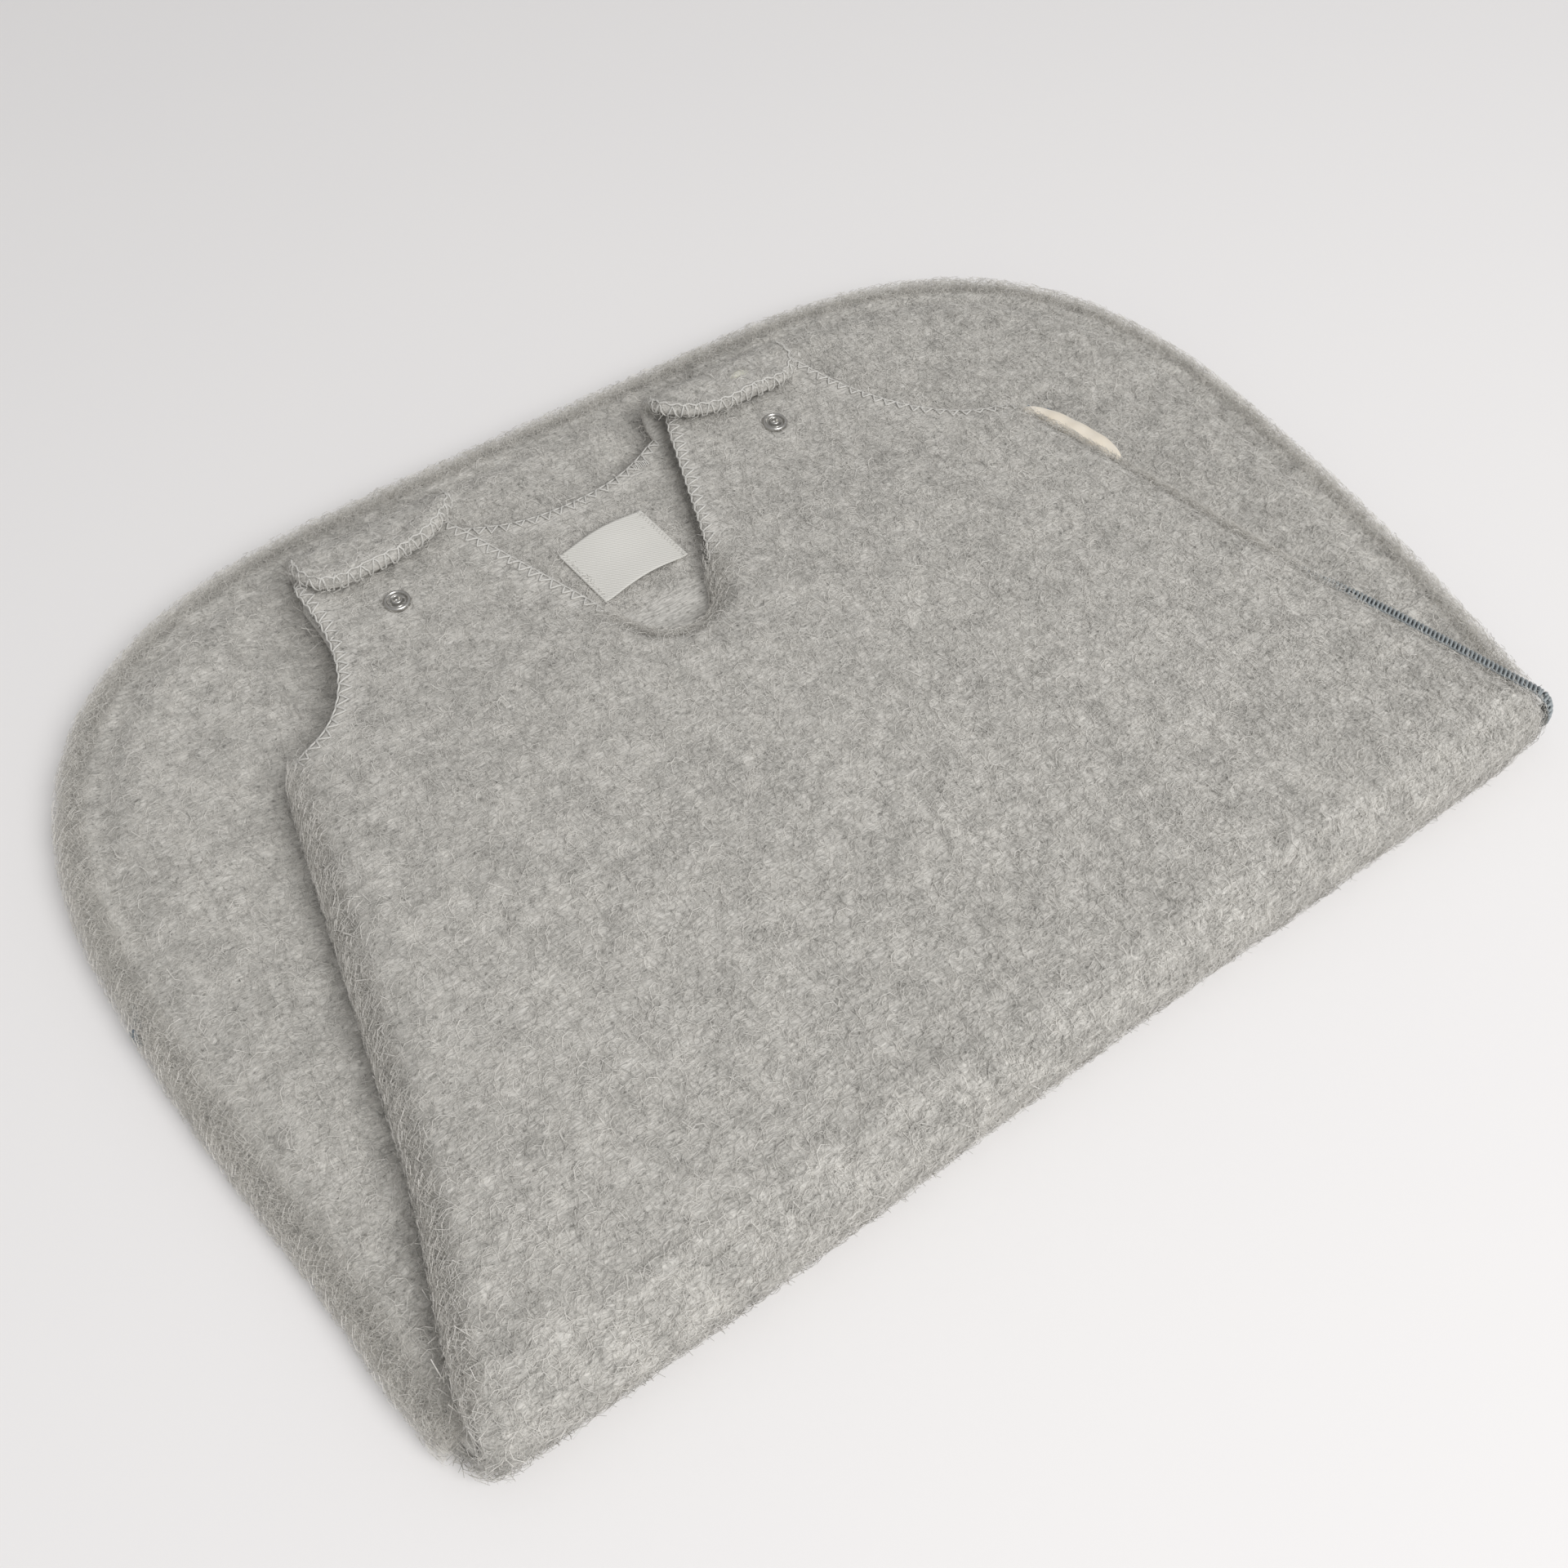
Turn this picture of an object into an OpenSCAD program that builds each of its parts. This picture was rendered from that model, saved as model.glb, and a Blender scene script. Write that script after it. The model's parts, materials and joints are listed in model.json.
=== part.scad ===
// Sleeveless baby sleeping bag of thick wool fleece, folded once across its length.
// The lower half lies on the table, front face down. The upper half is folded over it,
// front face up. All sizes are in millimetres, +Z is up, and +Y runs from the fold to the foot.

/* [Fleece] */
// Thickness of one fleece panel
panel_t = 4.5; // [3.5:0.1:6]
// Inside height of the closed bag, between its front and back panels
pocket_h = 5; // [4.4:0.1:8]
// Air between the two halves of the folded bag
fold_gap = 0.4; // [0.3:0.1:1]

/* [Lower half] */
// Half the width of the bag at the fold
fold_half = 214; // [180:1:240]
// Length of the lower half, from the fold to the edge of the foot
lower_len = 327; // [280:1:370]
// How fast the sides spread below the fold, as a slope
flare = 0.24; // [0.1:0.01:0.3]
// Distance below the fold at which the sides stop spreading
flare_len = 225; // [180:1:260]
// Length of the rounded foot corner along the side
corner_len = 162; // [100:1:180]
// Half the width of the straight part of the foot
foot_flat = 66; // [40:1:120]
// Squareness of the foot corner, 2 is an ellipse
corner_power = 2.9; // [2:0.1:4]

/* [Upper half] */
// Half the width under the arms
underarm_half = 157; // [130:1:180]
// Distance from the fold to the underarm
underarm_y = 217; // [180:1:240]
// Half the width across the shoulders
shoulder_half = 111; // [90:1:130]
// Distance from the fold to the top of the shoulders
shoulder_y = 290; // [260:1:310]
// Lowest point of the front neckline, from the fold
front_neck_y = 190; // [170:1:230]
// Radius at the bottom of the front neckline
front_neck_r = 19; // [12:1:26]
// Lean of the front neckline's straight sides
front_neck_lean = 20; // [12:1:26]
// Lowest point of the back neckline, from the fold
back_neck_y = 277; // [260:1:284]
// Sideways lie of the upper half on the lower half
body_shift = -5; // [-12:1:12]
// Sideways lie of the neck and shoulders
yoke_shift = -17; // [-24:1:24]

/* [Shoulder straps] */
// Inner edge of a strap, from the middle of the neck
strap_in = 44; // [38:1:60]
// Outer edge of a strap, from the middle of the neck
strap_out = 108; // [90:1:110]
// How far a strap reaches forward of the top of the shoulder
strap_reach = 16; // [15:1:30]
// Width of a strap's long, rounded corner beside the neck
strap_in_corner = 28; // [10:1:36]
// Radius of a strap's corner beside the arm
strap_out_corner = 14; // [8:1:15]
// Height of a strap above the front panel, held by the closed snap
snap_rise = 2.2; // [2.2:0.1:3]

/* [Snap fasteners] */
// Distance of the snaps from the middle of the neck
snap_x = 82.4; // [70:0.1:90]
// Distance from the fold to the free stud
snap_y = 260; // [250:1:264]
// Distance between the two studs of a shoulder
snap_pitch = 22; // [18:1:24]
// Outer radius of a stud's rolled ring
stud_r = 5; // [4:0.1:6]
// Radius of a stud's post
post_r = 2; // [1.5:0.1:2.4]

/* [Zip] */
// Width of the closed pair of coils
coil_w = 5.6; // [4:0.1:6]
// Thickness of the coils
coil_t = 1.8; // [1.2:0.1:2.4]
// Thickness of the woven zip tape
tape_t = 0.6; // [0.4:0.1:0.8]
// Height at which the zip on the left side ends, from the fold
zip_end_y = 165; // [140:1:200]
// Length of the slider
slider_len = 13; // [10:0.5:16]
// Width of the slider
slider_w = 9.4; // [8:0.1:9.6]
// Length of the pull tab
pull_len = 24; // [18:1:28]

/* [Label] */
// Width of the woven label
label_w = 38; // [25:1:60]
// Height of the woven label
label_h = 30; // [15:1:40]
// Turn of the label on the back panel
label_turn = 4.6; // [-8:0.1:8]

/* [Hidden] */
$fn = 48;

// Colours of the real materials
fleece_grey = "#b3b1ad";
thread_grey = "#c3c5c7";
zip_blue_grey = "#7b848c";
cotton_white = "#efece4";
label_white = "#f1f1ee";
cap_cream = "#ded9c4";

// Heights of the layers, from the table up
half_h = 2 * panel_t + pocket_h;
fold_z = half_h + fold_gap / 2;
lower_back_z = panel_t + pocket_h;
upper_back_z = half_h + fold_gap;
upper_front_z = upper_back_z + panel_t + pocket_h;
upper_top_z = upper_front_z + panel_t;
lower_zip_z = half_h / 2;
upper_zip_z = upper_back_z + half_h / 2;

// Section of the zip, measured outwards from the edge of the panels
zip_slot = 1;
tape_out = 3;
coil_out = tape_out + tape_t;
zip_out = coil_out + coil_t;
tape_reach = half_h / 2 - 1.4;

// The origin is below the middle of the folded bag
fold_y = -(lower_len + zip_out - fold_z) / 2;

// Thread edging and seams
edging_t = 0.5;
seam_w = 8;

// Strap: its fold is a half ring around the end of the front shoulder
strap_z = upper_top_z + snap_rise;
strap_bend_z = (upper_back_z + strap_z + panel_t) / 2;
strap_bend_r = strap_z + panel_t - strap_bend_z;
front_shoulder_y = shoulder_y + 1;

// Snap: heights above the face that each piece is set on
snap_hole_r = 3.8;
ring_sunk = 0.4;
prong_in_r = 3;
prong_out_r = 3.4;
post_h = 1.8;
socket_h = 1.55;
bore_gap = 0.1;

// Points along a path, moved sideways. Positive is to the right of the path's direction.
function unit(v) = v / norm(v);
function reversed(path) = [for (i = [len(path) - 1 : -1 : 0]) path[i]];
function mirrored(path) = [for (p = path) [-p[0], p[1]]];
function tail(path) = [for (i = [1 : len(path) - 1]) path[i]];
function moved_x(path, dx) = [for (p = path) [p[0] + dx, p[1]]];
function beside(path, d) = [
    for (i = [0 : len(path) - 1])
        let (a = path[max(i - 1, 0)], b = path[min(i + 1, len(path) - 1)])
        path[i] + d * unit([b[1] - a[1], a[0] - b[0]])
];

// Right edge of the lower half, from the fold to the middle of the foot
corner_y = lower_len - corner_len;
function flared(y) = y - pow(y, 2) / (2 * flare_len);
function side_half(y) = fold_half + flare * flared(min(y, flare_len));
right_edge = concat(
    [for (i = [0 : 6]) let (y = corner_y * i / 7) [side_half(y), y]],
    [for (a = [0 : 6 : 90])
        let (y = corner_y + corner_len * pow(sin(a), 2 / corner_power))
        [foot_flat + (side_half(y) - foot_flat) * pow(cos(a), 2 / corner_power), y]]
);
function edge_point(y) = [lookup(y, [for (p = right_edge) [p[1], p[0]]]), y];
function edge_above(y) = concat([edge_point(y)], [for (p = right_edge) if (p[1] > y + 1) p]);
function edge_below(y) = concat([for (p = right_edge) if (p[1] < y - 1) p], [edge_point(y)]);
zip_path = concat(edge_above(1.5), reversed(mirrored(edge_above(zip_end_y))));

// Right edge of the upper half: side, armhole, and the two necklines from the middle outwards
upper_side = [[fold_half, 0], [underarm_half, underarm_y]];
armhole = [
    for (a = [84 : -6 : 0])
        [underarm_half - (underarm_half - shoulder_half) * cos(a),
            shoulder_y - (shoulder_y - underarm_y) * sin(a)]
];
neck_line_x = front_neck_r * cos(front_neck_lean);
neck_line_y = front_neck_y + front_neck_r * (1 - sin(front_neck_lean));
front_neck = concat(
    [for (a = [-90 : 7 : -front_neck_lean - 1])
        [front_neck_r * cos(a), front_neck_y + front_neck_r * (1 + sin(a))]],
    [[neck_line_x, neck_line_y],
        [neck_line_x + (front_shoulder_y - neck_line_y) * tan(front_neck_lean), front_shoulder_y]]
);
back_neck = [
    for (i = [0 : 10])
        [strap_in * i / 10, back_neck_y + (shoulder_y - back_neck_y) * pow(i / 10, 2.5)]
];

// The upper half lies a little to the left, its neck and shoulders more so
function lie(y) = body_shift + (yoke_shift - body_shift)
    * min(max((y - underarm_y) / (shoulder_y - underarm_y), 0), 1);
function laid(path) = [for (p = path) [p[0] + lie(p[1]), p[1]]];

// Straight zip on the right side of the upper half, measured down from the underarm
zip_turn = atan((fold_half - underarm_half) / underarm_y);
zip_len = norm([fold_half - underarm_half, underarm_y]);
slider_start = 16;
coil_start = 6;
function zip_point(s) = [
    body_shift + underarm_half + s * sin(zip_turn),
    underarm_y - s * cos(zip_turn)
];

module placed() {
    translate([0, fold_y, 0])
        children();
}

// A flat layer between two sideways distances from a path
module strip(path, d0, d1, z, h) {
    translate([0, 0, z])
        linear_extrude(h)
            polygon(concat(beside(path, d1), reversed(beside(path, d0))));
}

module layer(outline, z, h = panel_t) {
    translate([0, 0, z])
        linear_extrude(h)
            polygon(outline);
}

// Half a ring around a line across the bag, between two radii and two places on that line.
// side is -1 for the half towards the fold and 1 for the half towards the foot.
module half_ring(r0, r1, x0, x1, y, z, side) {
    translate([x0, y, z])
        rotate([90, 0, 90])
            linear_extrude(x1 - x0)
                difference() {
                    circle(r1, $fn = 96);
                    circle(r0, $fn = 96);
                    translate([side > 0 ? -2 * r1 : 0, -2 * r1])
                        square([2 * r1, 4 * r1]);
                }
}

module fold_ring(r0, r1, x0, x1) {
    half_ring(r0, r1, x0, x1, 0, fold_z, -1);
}

fold_left = -fold_half + body_shift / 2;
fold_right = fold_half + body_shift / 2;

// ---- Lower half ----
lower_outline = concat(right_edge, reversed(mirrored(right_edge)));

module lower_front_panel() {
    color(fleece_grey)
        placed()
            layer(lower_outline, 0);
}

module lower_back_panel() {
    color(fleece_grey)
        placed()
            layer(lower_outline, lower_back_z);
}

module lower_left_seam() {
    color(fleece_grey)
        placed()
            strip(mirrored(edge_below(zip_end_y)), 0, seam_w, panel_t, pocket_h);
}

// One zip tape: a wall along the zip, joined to its panel by a narrow turned-in border.
// side is 1 for the tape above the middle of the zip and -1 for the one below.
module tape(path, zip_z, side) {
    wall_h = tape_reach - zip_slot / 2;
    wall_z = side > 0 ? zip_z + zip_slot / 2 : zip_z - tape_reach;
    border_z = side > 0 ? zip_z + tape_reach - tape_t : zip_z - tape_reach;
    color(zip_blue_grey)
        placed()
            union() {
                strip(path, tape_out, tape_out + tape_t, wall_z, wall_h);
                strip(path, 0, tape_out + 0.01, border_z, tape_t);
            }
}

// One row of the coil, laid against the outer face of its tape
module coil(path, zip_z, side) {
    row_h = (coil_w - zip_slot) / 2;
    row_z = side > 0 ? zip_z + zip_slot / 2 : zip_z - coil_w / 2;
    color(zip_blue_grey)
        placed()
            strip(path, coil_out, zip_out, row_z, row_h);
}

module lower_zip_front_tape() {
    tape(zip_path, lower_zip_z, -1);
}

module lower_zip_back_tape() {
    tape(zip_path, lower_zip_z, 1);
}

module lower_zip_front_coil() {
    coil(zip_path, lower_zip_z, -1);
}

module lower_zip_back_coil() {
    coil(zip_path, lower_zip_z, 1);
}

// Metal clip across both coils at the left end of the zip
module zip_bottom_stop() {
    stop = [coil_t, 3, coil_w + 1];
    stop_gap = 0.6;
    edge = edge_point(zip_end_y);
    color("silver")
        placed()
            translate([-edge[0] - zip_out, edge[1] - stop[1] - stop_gap, lower_zip_z - stop[2] / 2])
                cube(stop);
}

// ---- The fold ----
module front_fold() {
    color(fleece_grey)
        placed()
            fold_ring(fold_z - panel_t, fold_z, fold_left, fold_right);
}

module back_fold() {
    color(fleece_grey)
        placed()
            fold_ring(fold_gap / 2, fold_gap / 2 + panel_t, fold_left, fold_right);
}

module fold_left_seam() {
    color(fleece_grey)
        placed()
            fold_ring(fold_gap / 2 + panel_t, fold_z - panel_t, fold_left, fold_left + seam_w);
}

module fold_zip_tapes() {
    mid_r = fold_z - half_h / 2;
    color(zip_blue_grey)
        placed()
            for (side = [-1, 1]) {
                edge_r = mid_r + side * tape_reach;
                slot_r = mid_r + side * zip_slot / 2;
                border_r = edge_r - side * tape_t;
                fold_ring(min(slot_r, edge_r), max(slot_r, edge_r), fold_right + tape_out, fold_right + coil_out);
                fold_ring(min(border_r, edge_r), max(border_r, edge_r), fold_right, fold_right + tape_out);
            }
}

module fold_zip_coils() {
    mid_r = fold_z - half_h / 2;
    color(zip_blue_grey)
        placed()
            for (side = [-1, 1]) {
                edge_r = mid_r + side * coil_w / 2;
                slot_r = mid_r + side * zip_slot / 2;
                fold_ring(min(slot_r, edge_r), max(slot_r, edge_r), fold_right + coil_out, fold_right + zip_out);
            }
}

// ---- Upper half ----
upper_edge = concat(upper_side, armhole);

function yoke(path) = moved_x(path, yoke_shift);

// Outline of an upper panel, from its shoulder line and half of its neckline
function upper_outline(shoulder, neck) = concat(
    laid(upper_edge),
    yoke(concat([shoulder], reversed(neck), mirrored(tail(neck)), mirrored([shoulder]))),
    laid(reversed(mirrored(upper_edge)))
);

module at_studs(side) {
    for (i = [0, 1])
        translate([yoke_shift + side * snap_x, snap_y + i * snap_pitch, 0])
            children();
}

// Holes for the prongs, with a shallow seat on both faces where the rings squeeze the fleece
module snap_holes(z) {
    translate([0, 0, z - 0.1])
        cylinder(h = panel_t + 0.2, r = snap_hole_r);
    for (seat_z = [z + ring_sunk - 1, z + panel_t - ring_sunk])
        translate([0, 0, seat_z])
            cylinder(h = 1, r = stud_r + 0.15);
}

module upper_front_panel() {
    color(fleece_grey)
        placed()
            difference() {
                layer(upper_outline([shoulder_half, front_shoulder_y], front_neck), upper_front_z);
                at_studs(-1)
                    snap_holes(upper_front_z);
                at_studs(1)
                    snap_holes(upper_front_z);
            }
}

module upper_back_panel() {
    color(fleece_grey)
        placed()
            layer(upper_outline([strap_out, shoulder_y], back_neck), upper_back_z);
}

module upper_left_seam() {
    seam_start = seam_w * sin(zip_turn) + fold_gap;
    seam = [
        for (y = [seam_start, underarm_y])
            [body_shift - fold_half + (fold_half - underarm_half) * y / underarm_y, y]
    ];
    color(fleece_grey)
        placed()
            strip(seam, 0, seam_w, upper_back_z + panel_t, pocket_h);
}

upper_zip = [zip_point(zip_len), zip_point(0)];
upper_coil = [zip_point(zip_len), zip_point(coil_start)];

module upper_zip_front_tape() {
    tape(upper_zip, upper_zip_z, 1);
}

module upper_zip_back_tape() {
    tape(upper_zip, upper_zip_z, -1);
}

module upper_zip_front_coil() {
    coil(upper_coil, upper_zip_z, 1);
}

module upper_zip_back_coil() {
    coil(upper_coil, upper_zip_z, -1);
}

// Local frame on the zip: X outwards, Y up the zip towards the underarm
module along_zip(s) {
    placed()
        translate(concat(zip_point(s), [0]))
            rotate([0, 0, zip_turn])
                children();
}

// Two small metal clips that end the coils below the underarm
module zip_top_stops() {
    stop_h = 2;
    color("silver")
        along_zip(coil_start)
            for (side = [-1, 1])
                translate([coil_out, 0.2, upper_zip_z + side * 1.6 - stop_h / 2])
                    cube([coil_t + 0.3, 2.6, stop_h]);
}

// Soft cotton hood over the top of the zip, open outwards and downwards
module zip_guard() {
    guard_len = 47;
    guard_out = 10;
    guard_low = 25;
    guard_t = 0.9;
    rise = upper_top_z - guard_low;
    profile = concat(
        [for (a = [90 : -10 : 0]) [guard_out * cos(a), guard_low + rise * sin(a)]],
        [for (a = [0 : 10 : 90]) [(guard_out - guard_t) * cos(a), guard_low + (rise - guard_t) * sin(a)]]
    );
    color(cotton_white)
        along_zip(1)
            rotate([90, 0, 0])
                linear_extrude(guard_len)
                    polygon(profile);
}

// Woven label, sewn down along its two short sides and arched between them
module label() {
    label_y = 241;
    label_t = 0.6;
    label_rise = 2.6;
    across = [for (i = [0 : 16]) label_w * (i / 16 - 0.5)];
    function arch(x) = 0.1 + label_rise * pow(cos(180 * x / label_w), 2);
    color(label_white)
        placed()
            translate([yoke_shift, label_y, upper_back_z + panel_t])
                rotate([90, 0, label_turn])
                    translate([0, 0, -label_h / 2])
                        linear_extrude(label_h)
                            polygon(concat(
                                [for (x = across) [x, arch(x)]],
                                reversed([for (x = across) [x, arch(x) + label_t]])
                            ));
}

// Small reinforcing patch where the back neckline meets the right strap
module neck_bar_tack() {
    patch = [6, 3, 0.5];
    color(thread_grey)
        placed()
            translate([yoke_shift + 28, back_neck_y, upper_back_z + panel_t + 0.05])
                cube(patch);
}

// ---- Thread edging, a thin wall on the cut edges ----
module front_neck_edging() {
    path = yoke(concat(reversed(front_neck), mirrored(tail(front_neck))));
    color(thread_grey)
        placed()
            strip(path, 0, edging_t, upper_front_z, panel_t);
}

module back_neck_edging() {
    path = yoke(concat(reversed(back_neck), mirrored(tail(back_neck))));
    color(thread_grey)
        placed()
            strip(path, 0, edging_t, upper_back_z, panel_t);
}

module armhole_edging(path) {
    color(thread_grey)
        placed()
            for (z = [upper_back_z, upper_front_z])
                strip(path, 0, edging_t, z, panel_t);
}

armhole_path = concat([upper_side[1]], armhole);

module left_armhole_edging() {
    armhole_edging(laid(reversed(mirrored(armhole_path))));
}

module right_armhole_edging() {
    armhole_edging(laid(armhole_path));
}

// ---- Snap fasteners ----
// Ring stud: a rolled ring, a thin web and a hollow post
module studs(side) {
    roll_r = 0.45;
    web_t = 0.4;
    wall = 0.8;
    color("silver")
        placed()
            translate([0, 0, upper_top_z - ring_sunk])
                at_studs(side)
                    rotate_extrude() {
                        translate([stud_r - roll_r, roll_r])
                            circle(roll_r, $fn = 24);
                        translate([post_r - wall, 0])
                            square([stud_r - roll_r - post_r + wall, web_t]);
                        translate([post_r - wall, 0])
                            square([wall, ring_sunk + post_h]);
                    }
}

// Ring with a crown of prongs, closed onto the stud from inside the panel
module stud_rings(side) {
    color("silver")
        placed()
            translate([0, 0, upper_front_z])
                at_studs(side)
                    rotate_extrude() {
                        translate([2.4, 0])
                            square([stud_r - 2.65, ring_sunk]);
                        translate([prong_in_r, 0])
                            square([prong_out_r - prong_in_r, panel_t - ring_sunk]);
                    }
}

module left_studs() {
    studs(-1);
}

module right_studs() {
    studs(1);
}

module left_stud_rings() {
    stud_rings(-1);
}

module right_stud_rings() {
    stud_rings(1);
}

// ---- Shoulder straps: tabs of the back panel, folded forward and snapped down ----
free_y = shoulder_y - strap_reach;
strap_edge = concat(
    [for (a = [180 : 10 : 270])
        [strap_in + strap_in_corner * (1 + cos(a)), shoulder_y + strap_reach * sin(a)]],
    [for (a = [270 : 10 : 360])
        [strap_out - strap_out_corner * (1 - cos(a)), free_y + strap_out_corner * (1 + sin(a))]],
    [[strap_out, shoulder_y]]
);

function strap_path(side) = yoke(side > 0 ? strap_edge : reversed(mirrored(strap_edge)));

module at_closed_snap(side, z) {
    placed()
        translate([yoke_shift + side * snap_x, snap_y + snap_pitch, z])
            children();
}

module strap(side) {
    color(fleece_grey)
        difference() {
            placed()
                layer(strap_path(side), strap_z);
            at_closed_snap(side, strap_z - 1)
                cylinder(h = panel_t + 2, r = snap_hole_r);
        }
}

module strap_bend(side) {
    x0 = yoke_shift + (side > 0 ? strap_in : -strap_out);
    color(fleece_grey)
        placed()
            half_ring(strap_bend_r - panel_t, strap_bend_r, x0, x0 + strap_out - strap_in,
                shoulder_y, strap_bend_z, 1);
}

module strap_edging(side) {
    color(thread_grey)
        placed()
            strip(strap_path(side), 0, edging_t, strap_z, panel_t);
}

// Socket under the strap: its bore takes the stud's post
module socket(side) {
    roof_t = 0.25;
    socket_r = 4.6;
    color("silver")
        at_closed_snap(side, strap_z - socket_h)
            difference() {
                cylinder(h = socket_h, r = socket_r);
                translate([0, 0, -1])
                    cylinder(h = socket_h + 1 - roof_t, r = post_r + bore_gap);
            }
}

// Domed plastic cap on the strap, with the prongs that hold the socket
module cap(side) {
    cap_r = 5.2;
    cap_h = 1.2;
    color(cap_cream)
        at_closed_snap(side, strap_z)
            rotate_extrude() {
                translate([prong_in_r, 0])
                    square([prong_out_r - prong_in_r, panel_t + 0.1]);
                translate([0, panel_t])
                    polygon(concat(
                        [[0, 0]],
                        [for (a = [0 : 10 : 90]) [cap_r * pow(cos(a), 0.5), cap_h * sin(a)]]
                    ));
            }
}

module left_strap() {
    strap(-1);
}

module left_strap_bend() {
    strap_bend(-1);
}

module left_strap_edging() {
    strap_edging(-1);
}

module left_socket() {
    socket(-1);
}

module left_cap() {
    cap(-1);
}

module right_strap() {
    strap(1);
}

module right_strap_bend() {
    strap_bend(1);
}

module right_strap_edging() {
    strap_edging(1);
}

module right_socket() {
    socket(1);
}

module right_cap() {
    cap(1);
}

// ---- Zip slider and pull ----
plate_t = 1.2;
inner_plate_out = tape_out - 0.5;
outer_plate_out = zip_out + 0.3;
ear_z = 1.6;
ear_t = 1;
ear_out = outer_plate_out + plate_t - 0.1;
pin_out = outer_plate_out + plate_t + 1.5;
pin_r = 0.6;
eye_gap = 0.05;

// A slider plate: wide at its leading end, narrower behind
module slider_plate(out) {
    wide = slider_w / 2;
    narrow = wide - 1.2;
    nose = slider_len / 2;
    translate([out, 0, upper_zip_z])
        rotate([0, 90, 0])
            linear_extrude(plate_t)
                polygon([
                    [-narrow, -nose], [narrow, -nose], [narrow, -1], [wide, 2],
                    [wide, nose - 2], [wide - 2, nose], [2 - wide, nose], [-wide, nose - 2],
                    [-wide, 2], [-narrow, -1]
                ]);
}

// Two plates joined by a thin blade that runs between the coils
module zip_slider() {
    blade_t = zip_slot - 0.4;
    lip_z = coil_w / 2 + 0.3;
    lip_out = coil_out + 0.4;
    color("lightsteelblue")
        along_zip(slider_start)
            union() {
                slider_plate(inner_plate_out - plate_t);
                slider_plate(outer_plate_out);
                translate([inner_plate_out - 0.1, 2, upper_zip_z - blade_t / 2])
                    cube([outer_plate_out - inner_plate_out + 0.2, 3.4, blade_t]);
                for (side = [-1, 1]) {
                    translate([lip_out, -slider_len / 2 + 1, upper_zip_z + side * (lip_z + 0.2) - 0.2])
                        cube([outer_plate_out - lip_out + 0.1, slider_len - 4, 0.4]);
                    translate([ear_out, -1, upper_zip_z + side * (ear_z + ear_t / 2) - ear_t / 2])
                        cube([pin_out + 1 - ear_out, 2.2, ear_t]);
                }
                translate([pin_out, 0, upper_zip_z - ear_z - ear_t])
                    cylinder(h = 2 * (ear_z + ear_t), r = pin_r);
            }
}

// Pull tab with an eye around the slider's pin and a slot near its end
module zip_pull() {
    eye_r = 1.3;
    neck_half = ear_z - 0.2;
    tab_half = 3;
    tab_start = 2.2;
    tab_t = 1.2;
    color("lightsteelblue")
        along_zip(slider_start)
            translate([pin_out, 0, upper_zip_z])
                difference() {
                    union() {
                        translate([0, 0, -neck_half])
                            cylinder(h = 2 * neck_half, r = eye_r);
                        translate([-tab_t / 2, -tab_start - 1, -neck_half])
                            cube([tab_t, tab_start + 1, 2 * neck_half]);
                        translate([-tab_t / 2, -pull_len + tab_half, -tab_half])
                            cube([tab_t, pull_len - tab_half - tab_start, 2 * tab_half]);
                        translate([-tab_t / 2, -pull_len + tab_half, 0])
                            rotate([0, 90, 0])
                                cylinder(h = tab_t, r = tab_half);
                    }
                    translate([0, 0, -neck_half - 1])
                        cylinder(h = 2 * neck_half + 2, r = pin_r + eye_gap);
                    translate([-tab_t, -pull_len + tab_half, 0])
                        rotate([0, 90, 0])
                            cylinder(h = 2 * tab_t, r = 1.4);
                }
}

lower_front_panel();
lower_back_panel();
lower_left_seam();
lower_zip_front_tape();
lower_zip_back_tape();
lower_zip_front_coil();
lower_zip_back_coil();
zip_bottom_stop();
front_fold();
back_fold();
fold_left_seam();
fold_zip_tapes();
fold_zip_coils();
upper_front_panel();
upper_back_panel();
upper_left_seam();
upper_zip_front_tape();
upper_zip_back_tape();
upper_zip_front_coil();
upper_zip_back_coil();
zip_top_stops();
zip_guard();
label();
neck_bar_tack();
front_neck_edging();
back_neck_edging();
left_armhole_edging();
right_armhole_edging();
left_studs();
right_studs();
left_stud_rings();
right_stud_rings();
left_strap();
left_strap_bend();
left_strap_edging();
left_socket();
left_cap();
right_strap();
right_strap_bend();
right_strap_edging();
right_socket();
right_cap();
zip_slider();
zip_pull();
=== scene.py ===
import json
import math
import bpy
import numpy as np
from mathutils import Matrix, Vector, geometry, noise
from mathutils.bvhtree import BVHTree


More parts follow.
